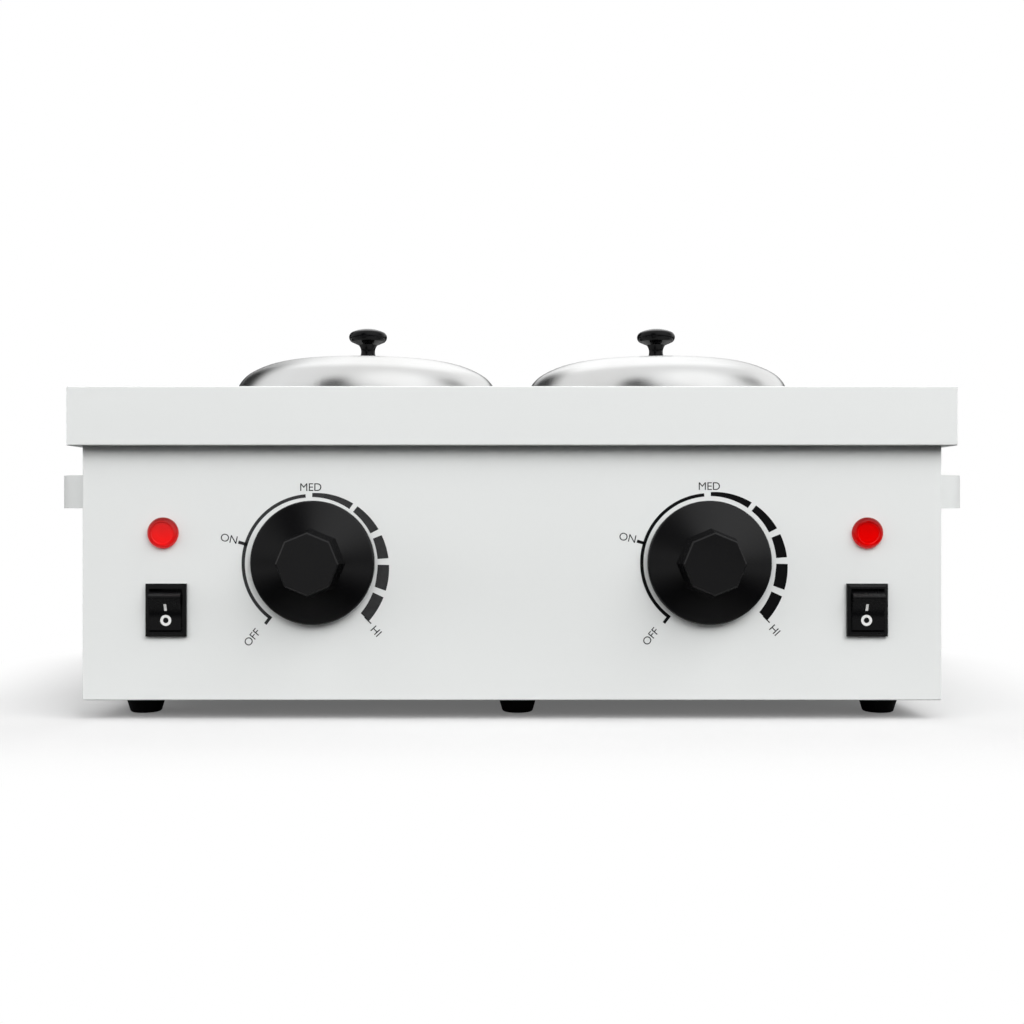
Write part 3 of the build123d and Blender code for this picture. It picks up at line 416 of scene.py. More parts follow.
@dataclass(frozen=True)
class TintedGlass(Skin):
    """A clear or coloured moulding that light goes through, with ripples as its grain."""

    roughness: Point = (0.06, 0.14)
    grain: Grain = Grain(420.0, 0.01 * MM, 0.4)
    waves: None = None
    cloud: Grain = Grain(130.0, detail=3.0)
    cloud_share: float = 1.0
    clearness: float = 0.85
    bend: float = 1.49

    def dress(self, shader: Shader) -> None:
        """Makes it clear.

        Args:
            shader: the material.
        """
        shader.drive("Transmission Weight", self.clearness)
        shader.drive("IOR", self.bend)
        super().dress(shader)


@dataclass(frozen=True, kw_only=True)
class LampGlass(TintedGlass):
    """Red lens of a pilot lamp, lit by its bulb at the middle, with painted light at its low edge.

    Glow changes over the radii of glow_reach, and low_glow, which paints light on the low side,
    from the low end to the high end. The edge colour is painted shade, which comes in over the
    radii of edge_reach, most at the high end.
    """

    side: Side
    roughness: Point = (0.05, 0.10)
    clearness: float = 0.5
    gloss: float = 0.25
    grain: Grain = Grain(420.0, 0.006 * MM, 0.4)
    half: float = 6.5 * MM
    glow: Point = (0.27, 0.22)
    glow_reach: Point = (3.4 * MM, 6.2 * MM)
    low_glow: Point = (1.45, 0.5)
    edge: Colour = srgb(120, 0, 0)
    edge_reach: Point = (4.3 * MM, 5.3 * MM)

    def dress(self, shader: Shader) -> None:
        """Lights the glass, with painted light at its low edge and painted shade at its top edge.

        Args:
            shader: the material.
        """
        super().dress(shader)
        centre, split = middle(self.side.node("lamp_lens")), shader.apart(shader.place)
        upward = shader.math("SUBTRACT", split["Z"], centre.z)
        radius = shader.distance(shader.math("SUBTRACT", split["X"], centre.x), upward)
        lit = shader.span(radius, *self.glow, *self.glow_reach)
        # painted light: the glow grows stronger towards the low edge of the lens
        low = shader.span(upward, *self.low_glow, -self.half, self.half)
        shader.drive("Emission Color", self.colour)
        shader.drive("Emission Strength", shader.math("MULTIPLY", lit, low))
        body = shader.surface.inputs["Base Color"].links[0].from_socket
        # painted shade: the edge of the lens turns darker red towards its top
        painted_top_shade = shader.math("MULTIPLY", shader.span(radius, 0.0, 1.0, *self.edge_reach),
                           shader.span(upward, 0.0, 1.0, -self.half, self.half))
        shader.drive("Base Color", shader.blend(painted_top_shade, body, self.edge))


@dataclass(frozen=True)
class Ink(Finish):
    """Screen printed ink, a little uneven where the mesh of the screen lay."""

    roughness: Point = (0.45, 0.62)
    gloss: float = 0.12
    spread: Grain = Grain(520.0, detail=3.0, rough=0.6)
    mesh: Grain = Grain(4200.0, 0.006 * MM, 0.4)

    def dress(self, shader: Shader) -> None:
        """Lays the marks of the mesh on the ink.

        Args:
            shader: the material.
        """
        spread = shader.noise(self.spread)
        self.cover(shader, spread, spread)
        cells = shader.add("ShaderNodeTexVoronoi", {"Vector": shader.place,
                                                    "Scale": self.mesh.scale})
        shader.dent(cells.outputs["Distance"], self.mesh)


ENAMEL = PowderCoat("white_powder_coat", srgb(230, 232, 231), srgb(228, 230, 229))
LID_STEEL = SpunMetal("spun_lid_steel", srgb(243, 244, 244), srgb(236, 236, 235),
                      (0.20, 0.28), Grain(2300.0, 0.006 * MM, 0.6, 4.0, 0.7), stretch=0.7)
ALUMINIUM = SpunMetal("spun_aluminium", srgb(245, 246, 247), srgb(234, 235, 237),
                      (0.40, 0.55), Grain(1400.0, 0.014 * MM, 0.6, 4.0, 0.7), stretch=0.4)
ZINC = PlatedMetal("zinc_plate", srgb(196, 198, 200), srgb(172, 174, 170))
BRASS = PlatedMetal("bare_brass", srgb(206, 170, 96), srgb(176, 136, 70), (0.22, 0.38))
COPPER = PlatedMetal("drawn_copper", srgb(198, 120, 84), srgb(150, 84, 58), (0.28, 0.44))
BAND = PlatedMetal("heater_band_steel", srgb(176, 172, 166), srgb(138, 126, 112),
                   (0.34, 0.5), cloud=Grain(60.0, detail=4.0, rough=0.6))
RUBBER = Moulding("black_foot_rubber", srgb(6, 6, 7), srgb(11, 11, 12), (0.62, 0.8),
                  Grain(900.0, 0.02 * MM), gloss=0.12)
DIAL_BLACK = Moulding("satin_dial_black", srgb(3, 3, 4), srgb(6, 6, 7), (0.20, 0.26),
                      Grain(1700.0, 0.004 * MM), gloss=0.42)
KNOB_BLACK = Moulding("gloss_knob_black", srgb(3, 3, 4), srgb(6, 6, 7), (0.10, 0.15),
                      Grain(800.0, 0.002 * MM), gloss=0.2)
SWITCH_BLACK = Moulding("switch_black", srgb(4, 4, 5), srgb(7, 7, 8), (0.22, 0.3),
                        Grain(2200.0, 0.004 * MM), gloss=0.32)
IVORY = Moulding("ivory_insulator", srgb(222, 214, 194), srgb(206, 196, 172), (0.4, 0.56))
CASE = Moulding("thermostat_case", srgb(58, 52, 46), srgb(42, 38, 34), (0.42, 0.6))
WIRE = Moulding("wire_sleeve", srgb(206, 204, 198), srgb(188, 184, 176), (0.5, 0.66),
                Grain(2600.0, 0.01 * MM))
LEFT_RED = LampGlass(name="left_red_lens", colour=srgb(230, 30, 30), tone=srgb(214, 20, 20),
                     side=Side.LEFT)
RIGHT_RED = LampGlass(name="right_red_lens", colour=srgb(222, 0, 0), tone=srgb(204, 0, 0),
                      side=Side.RIGHT)
NEON = TintedGlass("neon_glass", srgb(236, 222, 214), srgb(222, 200, 190))
SCALE_GREY = Ink("left_scale_ink", srgb(50, 50, 51), srgb(58, 58, 59))
SCALE_BLACK = Ink("right_scale_ink", srgb(5, 5, 6), srgb(11, 11, 12))
LABEL_GREY = Ink("label_ink", srgb(48, 48, 50), srgb(58, 58, 60))
MARK_WHITE = Ink("switch_mark_ink", srgb(236, 236, 234), srgb(226, 226, 224))

NODE_FINISHES = {
    ENAMEL: ("housing_wrap", "rear_panel", "base_plate", "top_cover", *both("handle")),
    LID_STEEL: both("lid"),
    ALUMINIUM: both("well", "pot"),
    ZINC: ("cover_studs", "cover_nuts", "foot_screws", "base_screws", "panel_screws",
           "handle_screws", "heater_clamps", "bracket_screws", "thermostat_screws",
           "inlet_screws", *both("bracket", "thermostat_shaft", "lid_screw")),
    BAND: both("heater"),
    COPPER: both("sensor"),
    BRASS: ("spade_terminals", "inlet_pins"),
    RUBBER: tuple(f"foot_{row}_{place}" for row in ("front", "rear")
                  for place in ("left", "middle", "right")),
    DIAL_BLACK: (*both("dial"), "mains_inlet"),
    KNOB_BLACK: both("knob"),
    SWITCH_BLACK: both("switch_housing", "rocker"),
    IVORY: (*both("lamp_holder"), "terminal_block", "thermal_fuses"),
    CASE: both("thermostat"),
    WIRE: ("wiring",),
    LEFT_RED: ("left_lamp_lens",),
    RIGHT_RED: ("right_lamp_lens",),
    NEON: ("neon_bulbs",),
}


class Workbench:
    """The few moves that every new piece is made with."""

    def __init__(self) -> None:
        """Starts with no finish built."""
        self.built: dict[Finish, Material] = {}

    def material(self, finish: Finish) -> Material:
        """A finish's material, made once."""
        self.built[finish] = self.built.get(finish) or finish.build()
        return self.built[finish]

    @staticmethod
    def only(piece: Piece | None = None) -> None:
        """Selects one piece, or nothing.

        Args:
            piece: the piece, which also becomes the active one.
        """
        for other in bpy.context.view_layer.objects:
            other.select_set(False)
        if piece is not None:
            piece.select_set(True)
            bpy.context.view_layer.objects.active = piece

    @staticmethod
    def take(name: str) -> Piece:
        """Names the piece that was just added.

        Args:
            name: its name.

        Returns:
            The piece.
        """
        piece = bpy.context.object
        piece.name = name
        piece.data.name = name
        return piece

    def settle(self, piece: Piece, place: Matrix) -> None:
        """Puts a piece in its place and leaves its object at the origin.

        Args:
            piece: the piece.
            place: where it goes.
        """
        self.only(piece)
        piece.matrix_world = place
        bpy.ops.object.transform_apply(location=True, rotation=True, scale=True)

    def to_mesh(self, piece: Piece) -> None:
        """Turns text or a flat curve into a mesh."""
        self.only(piece)
        bpy.ops.object.convert(target="MESH")

    @staticmethod
    def open() -> None:
        """Opens the piece at hand in edit mode with all of it selected."""
        bpy.ops.object.mode_set(mode="EDIT")
        bpy.ops.mesh.select_all(action="SELECT")

    @staticmethod
    def close() -> None:
        """Leaves edit mode."""
        bpy.ops.object.mode_set(mode="OBJECT")

    def pick(self, piece: Piece, side: int) -> None:
        """Opens a piece in edit mode with its top or bottom selected.

        Args:
            piece: the piece.
            side: TOP or BOTTOM.
        """
        self.only(piece)
        bpy.ops.object.mode_set(mode="EDIT")
        bpy.ops.mesh.select_mode(type="FACE")
        bpy.ops.mesh.select_all(action="DESELECT")
        self.close()
        for face in piece.data.polygons:
            face.select = side * face.normal.z > FLAT
        bpy.ops.object.mode_set(mode="EDIT")

    def modify(self, piece: Piece, kind: str, **settings: object) -> None:
        """Changes a piece by one modifier, which is applied at once.

        Args:
            piece: the piece.
            kind: the modifier's type.
            settings: its options.
        """
        modifier = piece.modifiers.new(kind.lower(), kind)
        adjust(modifier, **settings)
        self.only(piece)
        bpy.ops.object.modifier_apply(modifier=modifier.name)

    def finish(self, piece: Piece, body: str, slot: str, finish: Finish,
               replaced: Sequence[str] = ()) -> None:
        """Coats a piece, ties it to its body and reports it.

        Args:
            piece: the finished mesh.
            body: the CAD body that it moves with.
            slot: the record's material slot; it is not used.
            finish: its finish.
            replaced: CAD nodes that it stands for.
        """
        piece.data.materials.clear()
        piece.data.materials.append(self.material(finish))
        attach(piece, body)
        if replaced:
            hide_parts(*replaced)
        log.info("piece %s on %s, %d faces", piece.name, body, len(piece.data.polygons))


def face_on(x: float, front: float, z: float, turn: float = 0.0) -> Matrix:
    """Place of a flat piece on a face that looks along -Y.

    Args:
        x, z: its middle on the face.
        front: Y of the face.
        turn: how far it is turned clockwise as seen from the front, in degrees.

    Returns:
        The place of a piece that was drawn in the XY plane.
    """
    upright = Matrix.Rotation(math.radians(90), 4, "X")
    turned = Matrix.Rotation(-math.radians(turn), 4, "Z")
    return Matrix.Translation((x, front, z)) @ upright @ turned


@dataclass
class DialPrint:
    """The scale and words printed round one dial.

    Angles run clockwise from the top, in degrees. The centre is X and Z on the panel in
    millimetres, and each word has its X and Z from there and its turn. The outer radius of
    the blocks grows with the angle, and the inner one too past the start of inner_growth.
    """

    side: Side
    bench: Workbench
    ink: Ink
    centre: Point
    arc_inner: float = 27.6 * MM
    arc_outer: float = 29.0 * MM
    arc_span: Point = (-143.0, -4.6)
    tick_length: float = 2.6 * MM
    tick_width: float = 1.3 * MM
    low_ticks: tuple[float, ...] = (-142.8, -73.5)
    block_inner: float = 27.75 * MM
    inner_growth: Point = (100.0, 0.042 * MM)
    block_spans: tuple[Point, ...] = ((0.9, 35.0), (39.0, 63.0), (68.0, 86.0), (91.0, 110.0),
                                      (115.0, 135.0))
    block_outer: float = 29.4 * MM
    outer_growth: float = 0.034 * MM
    high_tick: float = 135.0
    high_tick_width: float = 0.5 * MM
    high_tick_reach: Point = (31.5 * MM, 35.4 * MM)
    thickness: float = 0.03 * MM
    letter_height: float = 3.4 * MM
    capital_share: float = 0.729
    letter_spacing: float = 0.98
    words: tuple[tuple[str, float, float, float], ...] = (
        ("MED", -0.2, 31.7, 0.0), ("ON", -34.2, 10.25, 12.0), ("OFF", -24.5, -30.9, -50.0),
        ("HI", 27.0, -28.3, 47.0))
    step: float = 1.5

    def __post_init__(self) -> None:
        """Finds the middle of the film of ink."""
        self.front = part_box("housing_wrap")[0].y - self.thickness / 2

    @staticmethod
    def at(angle: float, radius: float) -> Point:
        """A point of the scale about the dial's axis."""
        turn = math.radians(angle)
        return radius * math.sin(turn), radius * math.cos(turn)

    def outer(self, angle: float) -> float:
        """Outer radius of the growing blocks at an angle."""
        return self.block_outer + self.outer_growth * angle

    def inner(self, angle: float) -> float:
        """Inner radius of the growing blocks at an angle."""
        start, slope = self.inner_growth
        return self.block_inner + slope * max(0.0, angle - start)

    def band(self, start: float, end: float, inner: Callable[[float], float],
             outer: Callable[[float], float]) -> list[Point]:
        """Outline of a stretch of the scale.

        Args:
            start, end: its angles.
            inner, outer: its radii as functions of the angle.

        Returns:
            The outline's points.
        """
        steps = max(2, round((end - start) / self.step))
        angles = [start + (end - start) * i / steps for i in range(steps + 1)]
        return ([self.at(a, outer(a)) for a in angles]
                + [self.at(a, inner(a)) for a in reversed(angles)])

    def tick(self, angle: float, reach: Point, width: float) -> list[Point]:
        """Outline of a short stroke away from the dial.

        Args:
            angle: where it is.
            reach: its two radii.
            width: its width.

        Returns:
            The outline's points.
        """
        return [self.at(angle + side * math.degrees(width / 2 / reach[end]), reach[end])
                for end, side in ((0, -1), (1, -1), (1, 1), (0, 1))]

    def outlines(self) -> list[list[Point]]:
        """All the outlines of the scale.

        Returns:
            The arc, the blocks, the low ticks and the high tick, in this order.
        """
        arc = self.band(*self.arc_span, lambda angle: self.arc_inner, lambda angle: self.arc_outer)
        blocks = [self.band(*span, self.inner, self.outer) for span in self.block_spans]
        reach = (self.arc_inner, self.arc_outer + self.tick_length)
        ticks = [self.tick(angle, reach, self.tick_width) for angle in self.low_ticks]
        ticks.append(self.tick(self.high_tick, self.high_tick_reach, self.high_tick_width))
        return [arc, *blocks, *ticks]

    def draw_scale(self) -> None:
        """Makes the arc, the growing blocks and the ticks, one thin film of ink each."""
        for number, outline in enumerate(self.outlines(), 1):
            curve = bpy.data.curves.new(self.side.node(f"scale_{number}"), "CURVE")
            adjust(curve, dimensions="2D", fill_mode="BOTH", extrude=self.thickness / 2)
            spline = curve.splines.new("POLY")
            spline.points.add(len(outline) - 1)
            for point, (x, y) in zip(spline.points, outline):
                point.co = (x, y, 0.0, 1.0)
            spline.use_cyclic_u = True
            self.lay(hang(curve.name, curve), self.ink)

    def draw_words(self) -> None:
        """Makes the four plain words."""
        for word, x, z, turn in self.words:
            bpy.ops.object.text_add()
            piece = self.bench.take(self.side.node(f"word_{word.lower()}"))
            adjust(piece.data, body=word, align_x="CENTER", align_y="CENTER",
                   size=self.letter_height / self.capital_share, extrude=self.thickness / 2,
                   space_character=self.letter_spacing)
            self.lay(piece, LABEL_GREY, x, z, turn)

    def lay(self, piece: Piece, ink: Ink, x: float = 0.0, z: float = 0.0,
            turn: float = 0.0) -> None:
        """Lays one printed shape on the panel.

        Args:
            piece: the flat curve or text.
            ink: its ink.
            x, z: where it lies from the middle of the scale, in millimetres.
            turn: how far it is turned clockwise, in degrees.
        """
        self.bench.to_mesh(piece)
        self.bench.settle(piece, face_on(self.centre[0] * MM + x * MM, self.front,
                                         self.centre[1] * MM + z * MM, turn))
        self.bench.finish(piece, HOUSING, "dial_black", ink)

    def build(self) -> None:
        """Prints the scale and its words."""
        self.draw_scale()
        self.draw_words()


@dataclass
class RockerMarks:
    """The white ring and bar printed on one rocker.

    Shift is how far the marks lie to the right of the rocker's middle, and clear is how far
    in front of the switch they are held before they are laid on it.
    """

    side: Side
    bench: Workbench
    shift: float
    ring_outer: float = 2.28 * MM
    ring_stroke: float = 1.12 * MM
    ring_drop: float = 4.15 * MM
    ring_corners: int = 48
    ring_steps: int = 3
    bar_height: float = 2.8 * MM
    bar_width: float = 1.1 * MM
    bar_rise: float = 1.25 * MM
    bar_lean: float = 1.5
    bar_cuts: int = 5
    film: float = 0.04 * MM
    clear: float = 20.0 * MM

    def __post_init__(self) -> None:
        """Finds the switch."""
        low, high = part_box(self.side.node("switch_housing"))
        self.x = middle(self.side.node("rocker")).x + self.shift
        self.front = low.y - self.clear
        self.z = (low.z + high.z) / 2

    def lay(self, piece: Piece, rise: float, lean: float = 0.0) -> None:
        """Lays a flat mark on the rocker's curved face and gives it a film's thickness.

        Args:
            piece: the mark, drawn in the XY plane.
            rise: its height above the middle of the switch.
            lean: how far it is turned clockwise, in degrees.
        """
        bench = self.bench
        bench.close()
        bench.settle(piece, face_on(self.x, self.front, self.z + rise, lean))
        bench.modify(piece, "SHRINKWRAP", target=frame["nodes"][self.side.node("rocker")],
                     wrap_method="PROJECT", use_project_y=True, offset=self.film / 2)
        bench.modify(piece, "SOLIDIFY", thickness=self.film, offset=0.0)
        bench.finish(piece, self.side.body("rocker"), "switch_black", MARK_WHITE)

    def build_ring(self) -> None:
        """Makes the ring from a disc whose middle is inset and taken out."""
        self.bench.only()
        bpy.ops.mesh.primitive_circle_add(vertices=self.ring_corners, radius=self.ring_outer,
                                          fill_type="NGON")
        piece = self.bench.take(self.side.node("rocker_ring"))
        self.bench.open()
        for _ in range(self.ring_steps):
            bpy.ops.mesh.inset(thickness=self.ring_stroke / self.ring_steps)
        bpy.ops.mesh.delete(type="FACE")
        self.lay(piece, -self.ring_drop)

    def build_bar(self) -> None:
        """Makes the bar from a plane, cut fine enough to follow the face."""
        self.bench.only()
        bpy.ops.mesh.primitive_plane_add(size=1.0)
        piece = self.bench.take(self.side.node("rocker_bar"))
        self.bench.open()
        bpy.ops.transform.resize(value=(self.bar_width, self.bar_height, 1.0))
        bpy.ops.mesh.subdivide(number_cuts=self.bar_cuts)
        self.lay(piece, self.bar_rise, -self.bar_lean if self.side is Side.LEFT else self.bar_lean)

    def build(self) -> None:
        """Prints both marks."""
        self.build_ring()
        self.build_bar()


@dataclass
class Housing:
    """The CAD nodes that keep their shape and get their finish here."""

    bench: Workbench

    def dress(self) -> None:
        """Gives every CAD node its finish."""
        for finish, nodes in NODE_FINISHES.items():
            for node in nodes:
                for slot in frame["nodes"][node].material_slots:
                    slot.material = self.bench.material(finish)
                log.info("node %s wears %s", node, finish.name)


def look_to(azimuth: float, elevation: float) -> Vector:
    """Direction seen from the warmer, in degrees; azimuth runs from the front to the right."""
    turn, rise = math.radians(azimuth), math.radians(elevation)
    return Vector((math.cos(rise) * math.sin(turn), -math.cos(rise) * math.cos(turn),
                   math.sin(rise)))


@dataclass(frozen=True)
class ScrewSet:
    """The screws of one CAD node: which way their heads look and how far they stand up.

    Mirrored is for a set whose heads look out on both sides.
    """

    node: str
    outward: tuple[int, int, int]
    head_height: float = 2.3 * MM
    mirrored: bool = False

    @property
    def name(self) -> str:
        """Name of the piece that stands for the node."""
        return self.node.replace("_screws", "_screw_set")

    @property
    def axis(self) -> int:
        """Number of the axis that the screws lie along."""
        return [abs(part) for part in self.outward].index(1)

    def turned(self, point: Vector) -> bool:
        """Whether a screw at a point looks the other way."""
        return self.mirrored and point[self.axis] < 0


@dataclass
class Fasteners:
    """Cross-recess pan head screws, modelled once for each set and copied to its places.

    A share is of the head's radius or height, as is the recess's size; arm_taper is what its
    arms keep of their length at the bottom, and thread_depth what a thread leaves of the shank.
    """

    bench: Workbench
    sets: tuple[ScrewSet, ...] = (
        ScrewSet("panel_screws", (0, 1, 0), 1.9 * MM),
        ScrewSet("inlet_screws", (0, 1, 0), 1.9 * MM),
        ScrewSet("handle_screws", (1, 0, 0), mirrored=True),
        ScrewSet("base_screws", (0, 0, -1)),
        ScrewSet("foot_screws", (0, 0, -1)),
        ScrewSet("bracket_screws", (0, 0, 1)),
    )
    facets: int = 32
    spread: float = 9.0 * MM
    shank_share: float = 0.52
    crown_share: float = 0.62
    crown_steps: int = 5
    recess_depth: float = 0.62
    arm_length: float = 1.15
    arm_width: float = 0.24
    arm_taper: float = 0.45
    thread_pitch: float = 0.7 * MM
    thread_depth: float = 0.84
    turn_step: float = 37.0
    smooth_below: float = 35.0

    def places(self, row: ScrewSet) -> list[tuple[Vector, Vector]]:
        """Finds the separate screws of one node.

        Args:
            row: the set.

        Returns:
            The lowest and highest corner of each screw.
        """
        first, second = (i for i in range(3) if i != row.axis)
        groups: list[tuple[Vector, list[Vector]]] = []
        for vertex in frame["nodes"][row.node].data.vertices:
            point = vertex.co
            for seed, group in groups:
                apart = math.hypot(point[first] - seed[first], point[second] - seed[second])
                if row.turned(seed) == row.turned(point) and apart < self.spread:
                    group.append(point)
                    break
            else:
                groups.append((point, [point]))
        return [(Vector([min(values) for values in zip(*group)]),
                 Vector([max(values) for values in zip(*group)])) for _, group in groups]

    def head(self, name: str, radius: float, height: float) -> Piece:
        """Models a pan head that stands on the XY plane.

        Args:
            name: its name.
            radius, height: its size.

        Returns:
            The head.
        """
        self.bench.only()
        bpy.ops.mesh.primitive_cylinder_add(vertices=self.facets, radius=radius, depth=height)
        piece = self.bench.take(name)
        self.bench.settle(piece, Matrix.Translation((0.0, 0.0, height / 2)))
        self.bench.pick(piece, TOP)
        bpy.ops.mesh.bevel(offset=self.crown_share * height, segments=self.crown_steps,
                           affect="EDGES")
        self.bench.close()
        return piece

    def add_shank(self, piece: Piece, radius: float, length: float) -> None:
        """Draws a threaded shank out of the head's underside, ring by ring.

        Args:
            piece: the head.
            radius: the head's radius.
            length: how long the shank is.
        """
        rings = max(1, round(length / self.thread_pitch) - 1)
        step = length / (2 * rings + 1)
        self.bench.pick(piece, BOTTOM)
        bpy.ops.mesh.inset(thickness=radius * (1 - self.shank_share))
        for _ in range(rings):
            self.draw_down(step, self.thread_depth)
            self.draw_down(step, 1 / self.thread_depth)
        self.draw_down(step, self.thread_depth)
        self.bench.close()

    @staticmethod
    def draw_down(step: float, scale: float) -> None:
        """Extrudes the picked face downwards and scales its end."""
        bpy.ops.mesh.extrude_region_move(TRANSFORM_OT_translate={"value": (0.0, 0.0, -step)})
        bpy.ops.transform.resize(value=(scale, scale, 1.0))

    def cut_recess(self, piece: Piece, radius: float, height: float) -> None:
        """Cuts the cross recess with two tapered bars.

        Args:
            piece: the screw.
            radius, height: its head's size.
        """
        depth = self.recess_depth * height
        for size in ((self.arm_length, self.arm_width), (self.arm_width, self.arm_length)):
            self.bench.only()
            bpy.ops.mesh.primitive_cube_add(size=1.0)
            bar = self.bench.take("recess_bar")
            bar.scale = (size[0] * radius, size[1] * radius, 2 * depth)
            self.bench.settle(bar, Matrix.Translation((0.0, 0.0, height)) @ bar.matrix_basis)
            self.bench.pick(bar, BOTTOM)
            narrow = [self.arm_taper if side == self.arm_length else 1.0 for side in size]
            bpy.ops.transform.resize(value=(*narrow, 1.0))
            self.bench.close()
            self.bench.modify(piece, "BOOLEAN", operation="DIFFERENCE", solver="EXACT", object=bar)
            bpy.data.objects.remove(bar)

    def build_set(self, row: ScrewSet) -> None:
        """Makes one set of screws and lays one of them in each place.

        Args:
            row: the set.
        """
        axis, across = row.axis, (row.axis + 1) % 3
        boxes = self.places(row)
        low, high = boxes[0]
        radius = (high[across] - low[across]) / 2
        master = self.head(row.name, radius, row.head_height)
        self.add_shank(master, radius, high[axis] - low[axis] - row.head_height)
        self.cut_recess(master, radius, row.head_height)
        copies = []
        for number, (low, high) in enumerate(boxes):
            centre = (low + high) / 2
            facing = -Vector(row.outward) if row.turned(centre) else Vector(row.outward)
            reach = (high[axis] - low[axis]) / 2 - row.head_height
            upright = facing.to_track_quat("Z", "Y").to_matrix().to_4x4()
            turn = Matrix.Rotation(math.radians(self.turn_step * number), 4, "Z")
            copy = hang(f"{master.name}_{number}", master.data.copy())
            place = Matrix.Translation(centre + facing * reach)
            self.bench.settle(copy, place @ upright @ turn)
            copies.append(copy)
        bpy.data.objects.remove(master)
        self.bench.only(copies[0])
        for copy in copies[1:]:
            copy.select_set(True)
        bpy.ops.object.join()
        piece = self.bench.take(row.name)
        bpy.ops.object.shade_smooth_by_angle(angle=math.radians(self.smooth_below))
        self.bench.finish(piece, HOUSING, "zinc_steel", ZINC, (row.node,))

    def build(self) -> None:
        """Makes every set."""
        for row in self.sets:
            self.build_set(row)


@dataclass(frozen=True)
class Patch:
    """A soft oval patch of the room, darker or lighter than the rest, that only gloss shows.

    Its half width and half height are in degrees, and core is the share of them that has
    its full level. Lean turns it clockwise.
    """

    azimuth: float
    elevation: float
    width: float
    height: float
    core: float
    level: float
    lean: float = 0.0

    def axes(self) -> tuple[Vector, Vector, Vector]:
        """The directions that a look is measured along.

        Returns:
            Its direction, and its side and upward directions divided by its half sizes.
        """
        ahead = look_to(self.azimuth, self.elevation)
        upward = look_to(self.azimuth, self.elevation + 90)
        upward.rotate(Matrix.Rotation(math.radians(self.lean), 3, ahead))
        aside = ahead.cross(upward)
        return (ahead, aside / math.sin(math.radians(self.width)),
                upward / math.sin(math.radians(self.height)))


class Surroundings(Nodes):
    """The world: white to the camera, dim to matt surfaces, and a pale room to gloss."""

    def __init__(self, dim: Point, room: float, patches: Sequence[Patch]) -> None:
        """Makes the world.

        Args:
            dim: strengths that light matt surfaces from the horizon and from straight above.
            room: strength that gloss shows where no patch lies.
            patches: what gloss shows besides.
        """
        world = bpy.data.worlds.new("studio")
        bpy.context.scene.world = world
        world.use_nodes = True
        super().__init__(world.node_tree)
        self.look = self.add("ShaderNodeTexCoord").outputs["Generated"]
        path = self.add("ShaderNodeLightPath").outputs
        level: Number = room
        for patch in patches:
            level = self.laid_over(level, patch)
        seen = self.math("MAXIMUM", path["Is Camera Ray"], path["Is Transmission Ray"])
        lit = self.span(self.apart(self.look)["Z"], *dim, 0.0, 1.0)
        strength = self.mixed(path["Is Glossy Ray"], lit, level)
        background = self.tree.nodes["Background"].inputs
        self.feed(background["Color"], (1.0, 1.0, 1.0))
        self.feed(background["Strength"], self.mixed(seen, strength, 1.0))

    def laid_over(self, level: Number, patch: Patch) -> Socket:
        """Lays one patch over the room.

        Args:
            level: the room's strength so far.
            patch: the patch.

        Returns:
            The room's strength with the patch.
        """
        facing, across, along = (self.vector("DOT_PRODUCT", self.look, axis)
                                 for axis in patch.axes())
        share = self.span(self.distance(across, along), 0.0, 1.0, 1.0, patch.core,
                          interpolation_type="SMOOTHSTEP")
        in_front = self.math("GREATER_THAN", facing, 0.0)
        return self.mixed(self.math("MULTIPLY", share, in_front), level, patch.level)


@dataclass(frozen=True)
class Lamp:
    """One soft square lamp that looks at the warmer and doesn't show in gloss.

    It hangs at an azimuth from the front to the right and an elevation, both in degrees. Its
    side is in metres and its power in watts.
    """

    name: str
    azimuth: float
    elevation: float
    side: float
    power: float
    distance: float = 2.6
    target: Axes = (0.0, 0.0, 0.08)

    def build(self) -> None:
        """Hangs the lamp."""
        target = Vector(self.target)
        place = target + self.distance * look_to(self.azimuth, self.elevation)
        data = bpy.data.lights.new(self.name, "AREA")
        adjust(data, shape="SQUARE", size=self.side, energy=self.power)
        turn = (target - place).to_track_quat("-Z", "Y").to_euler()
        adjust(hang(self.name, data), location=place, rotation_euler=turn, visible_glossy=False)


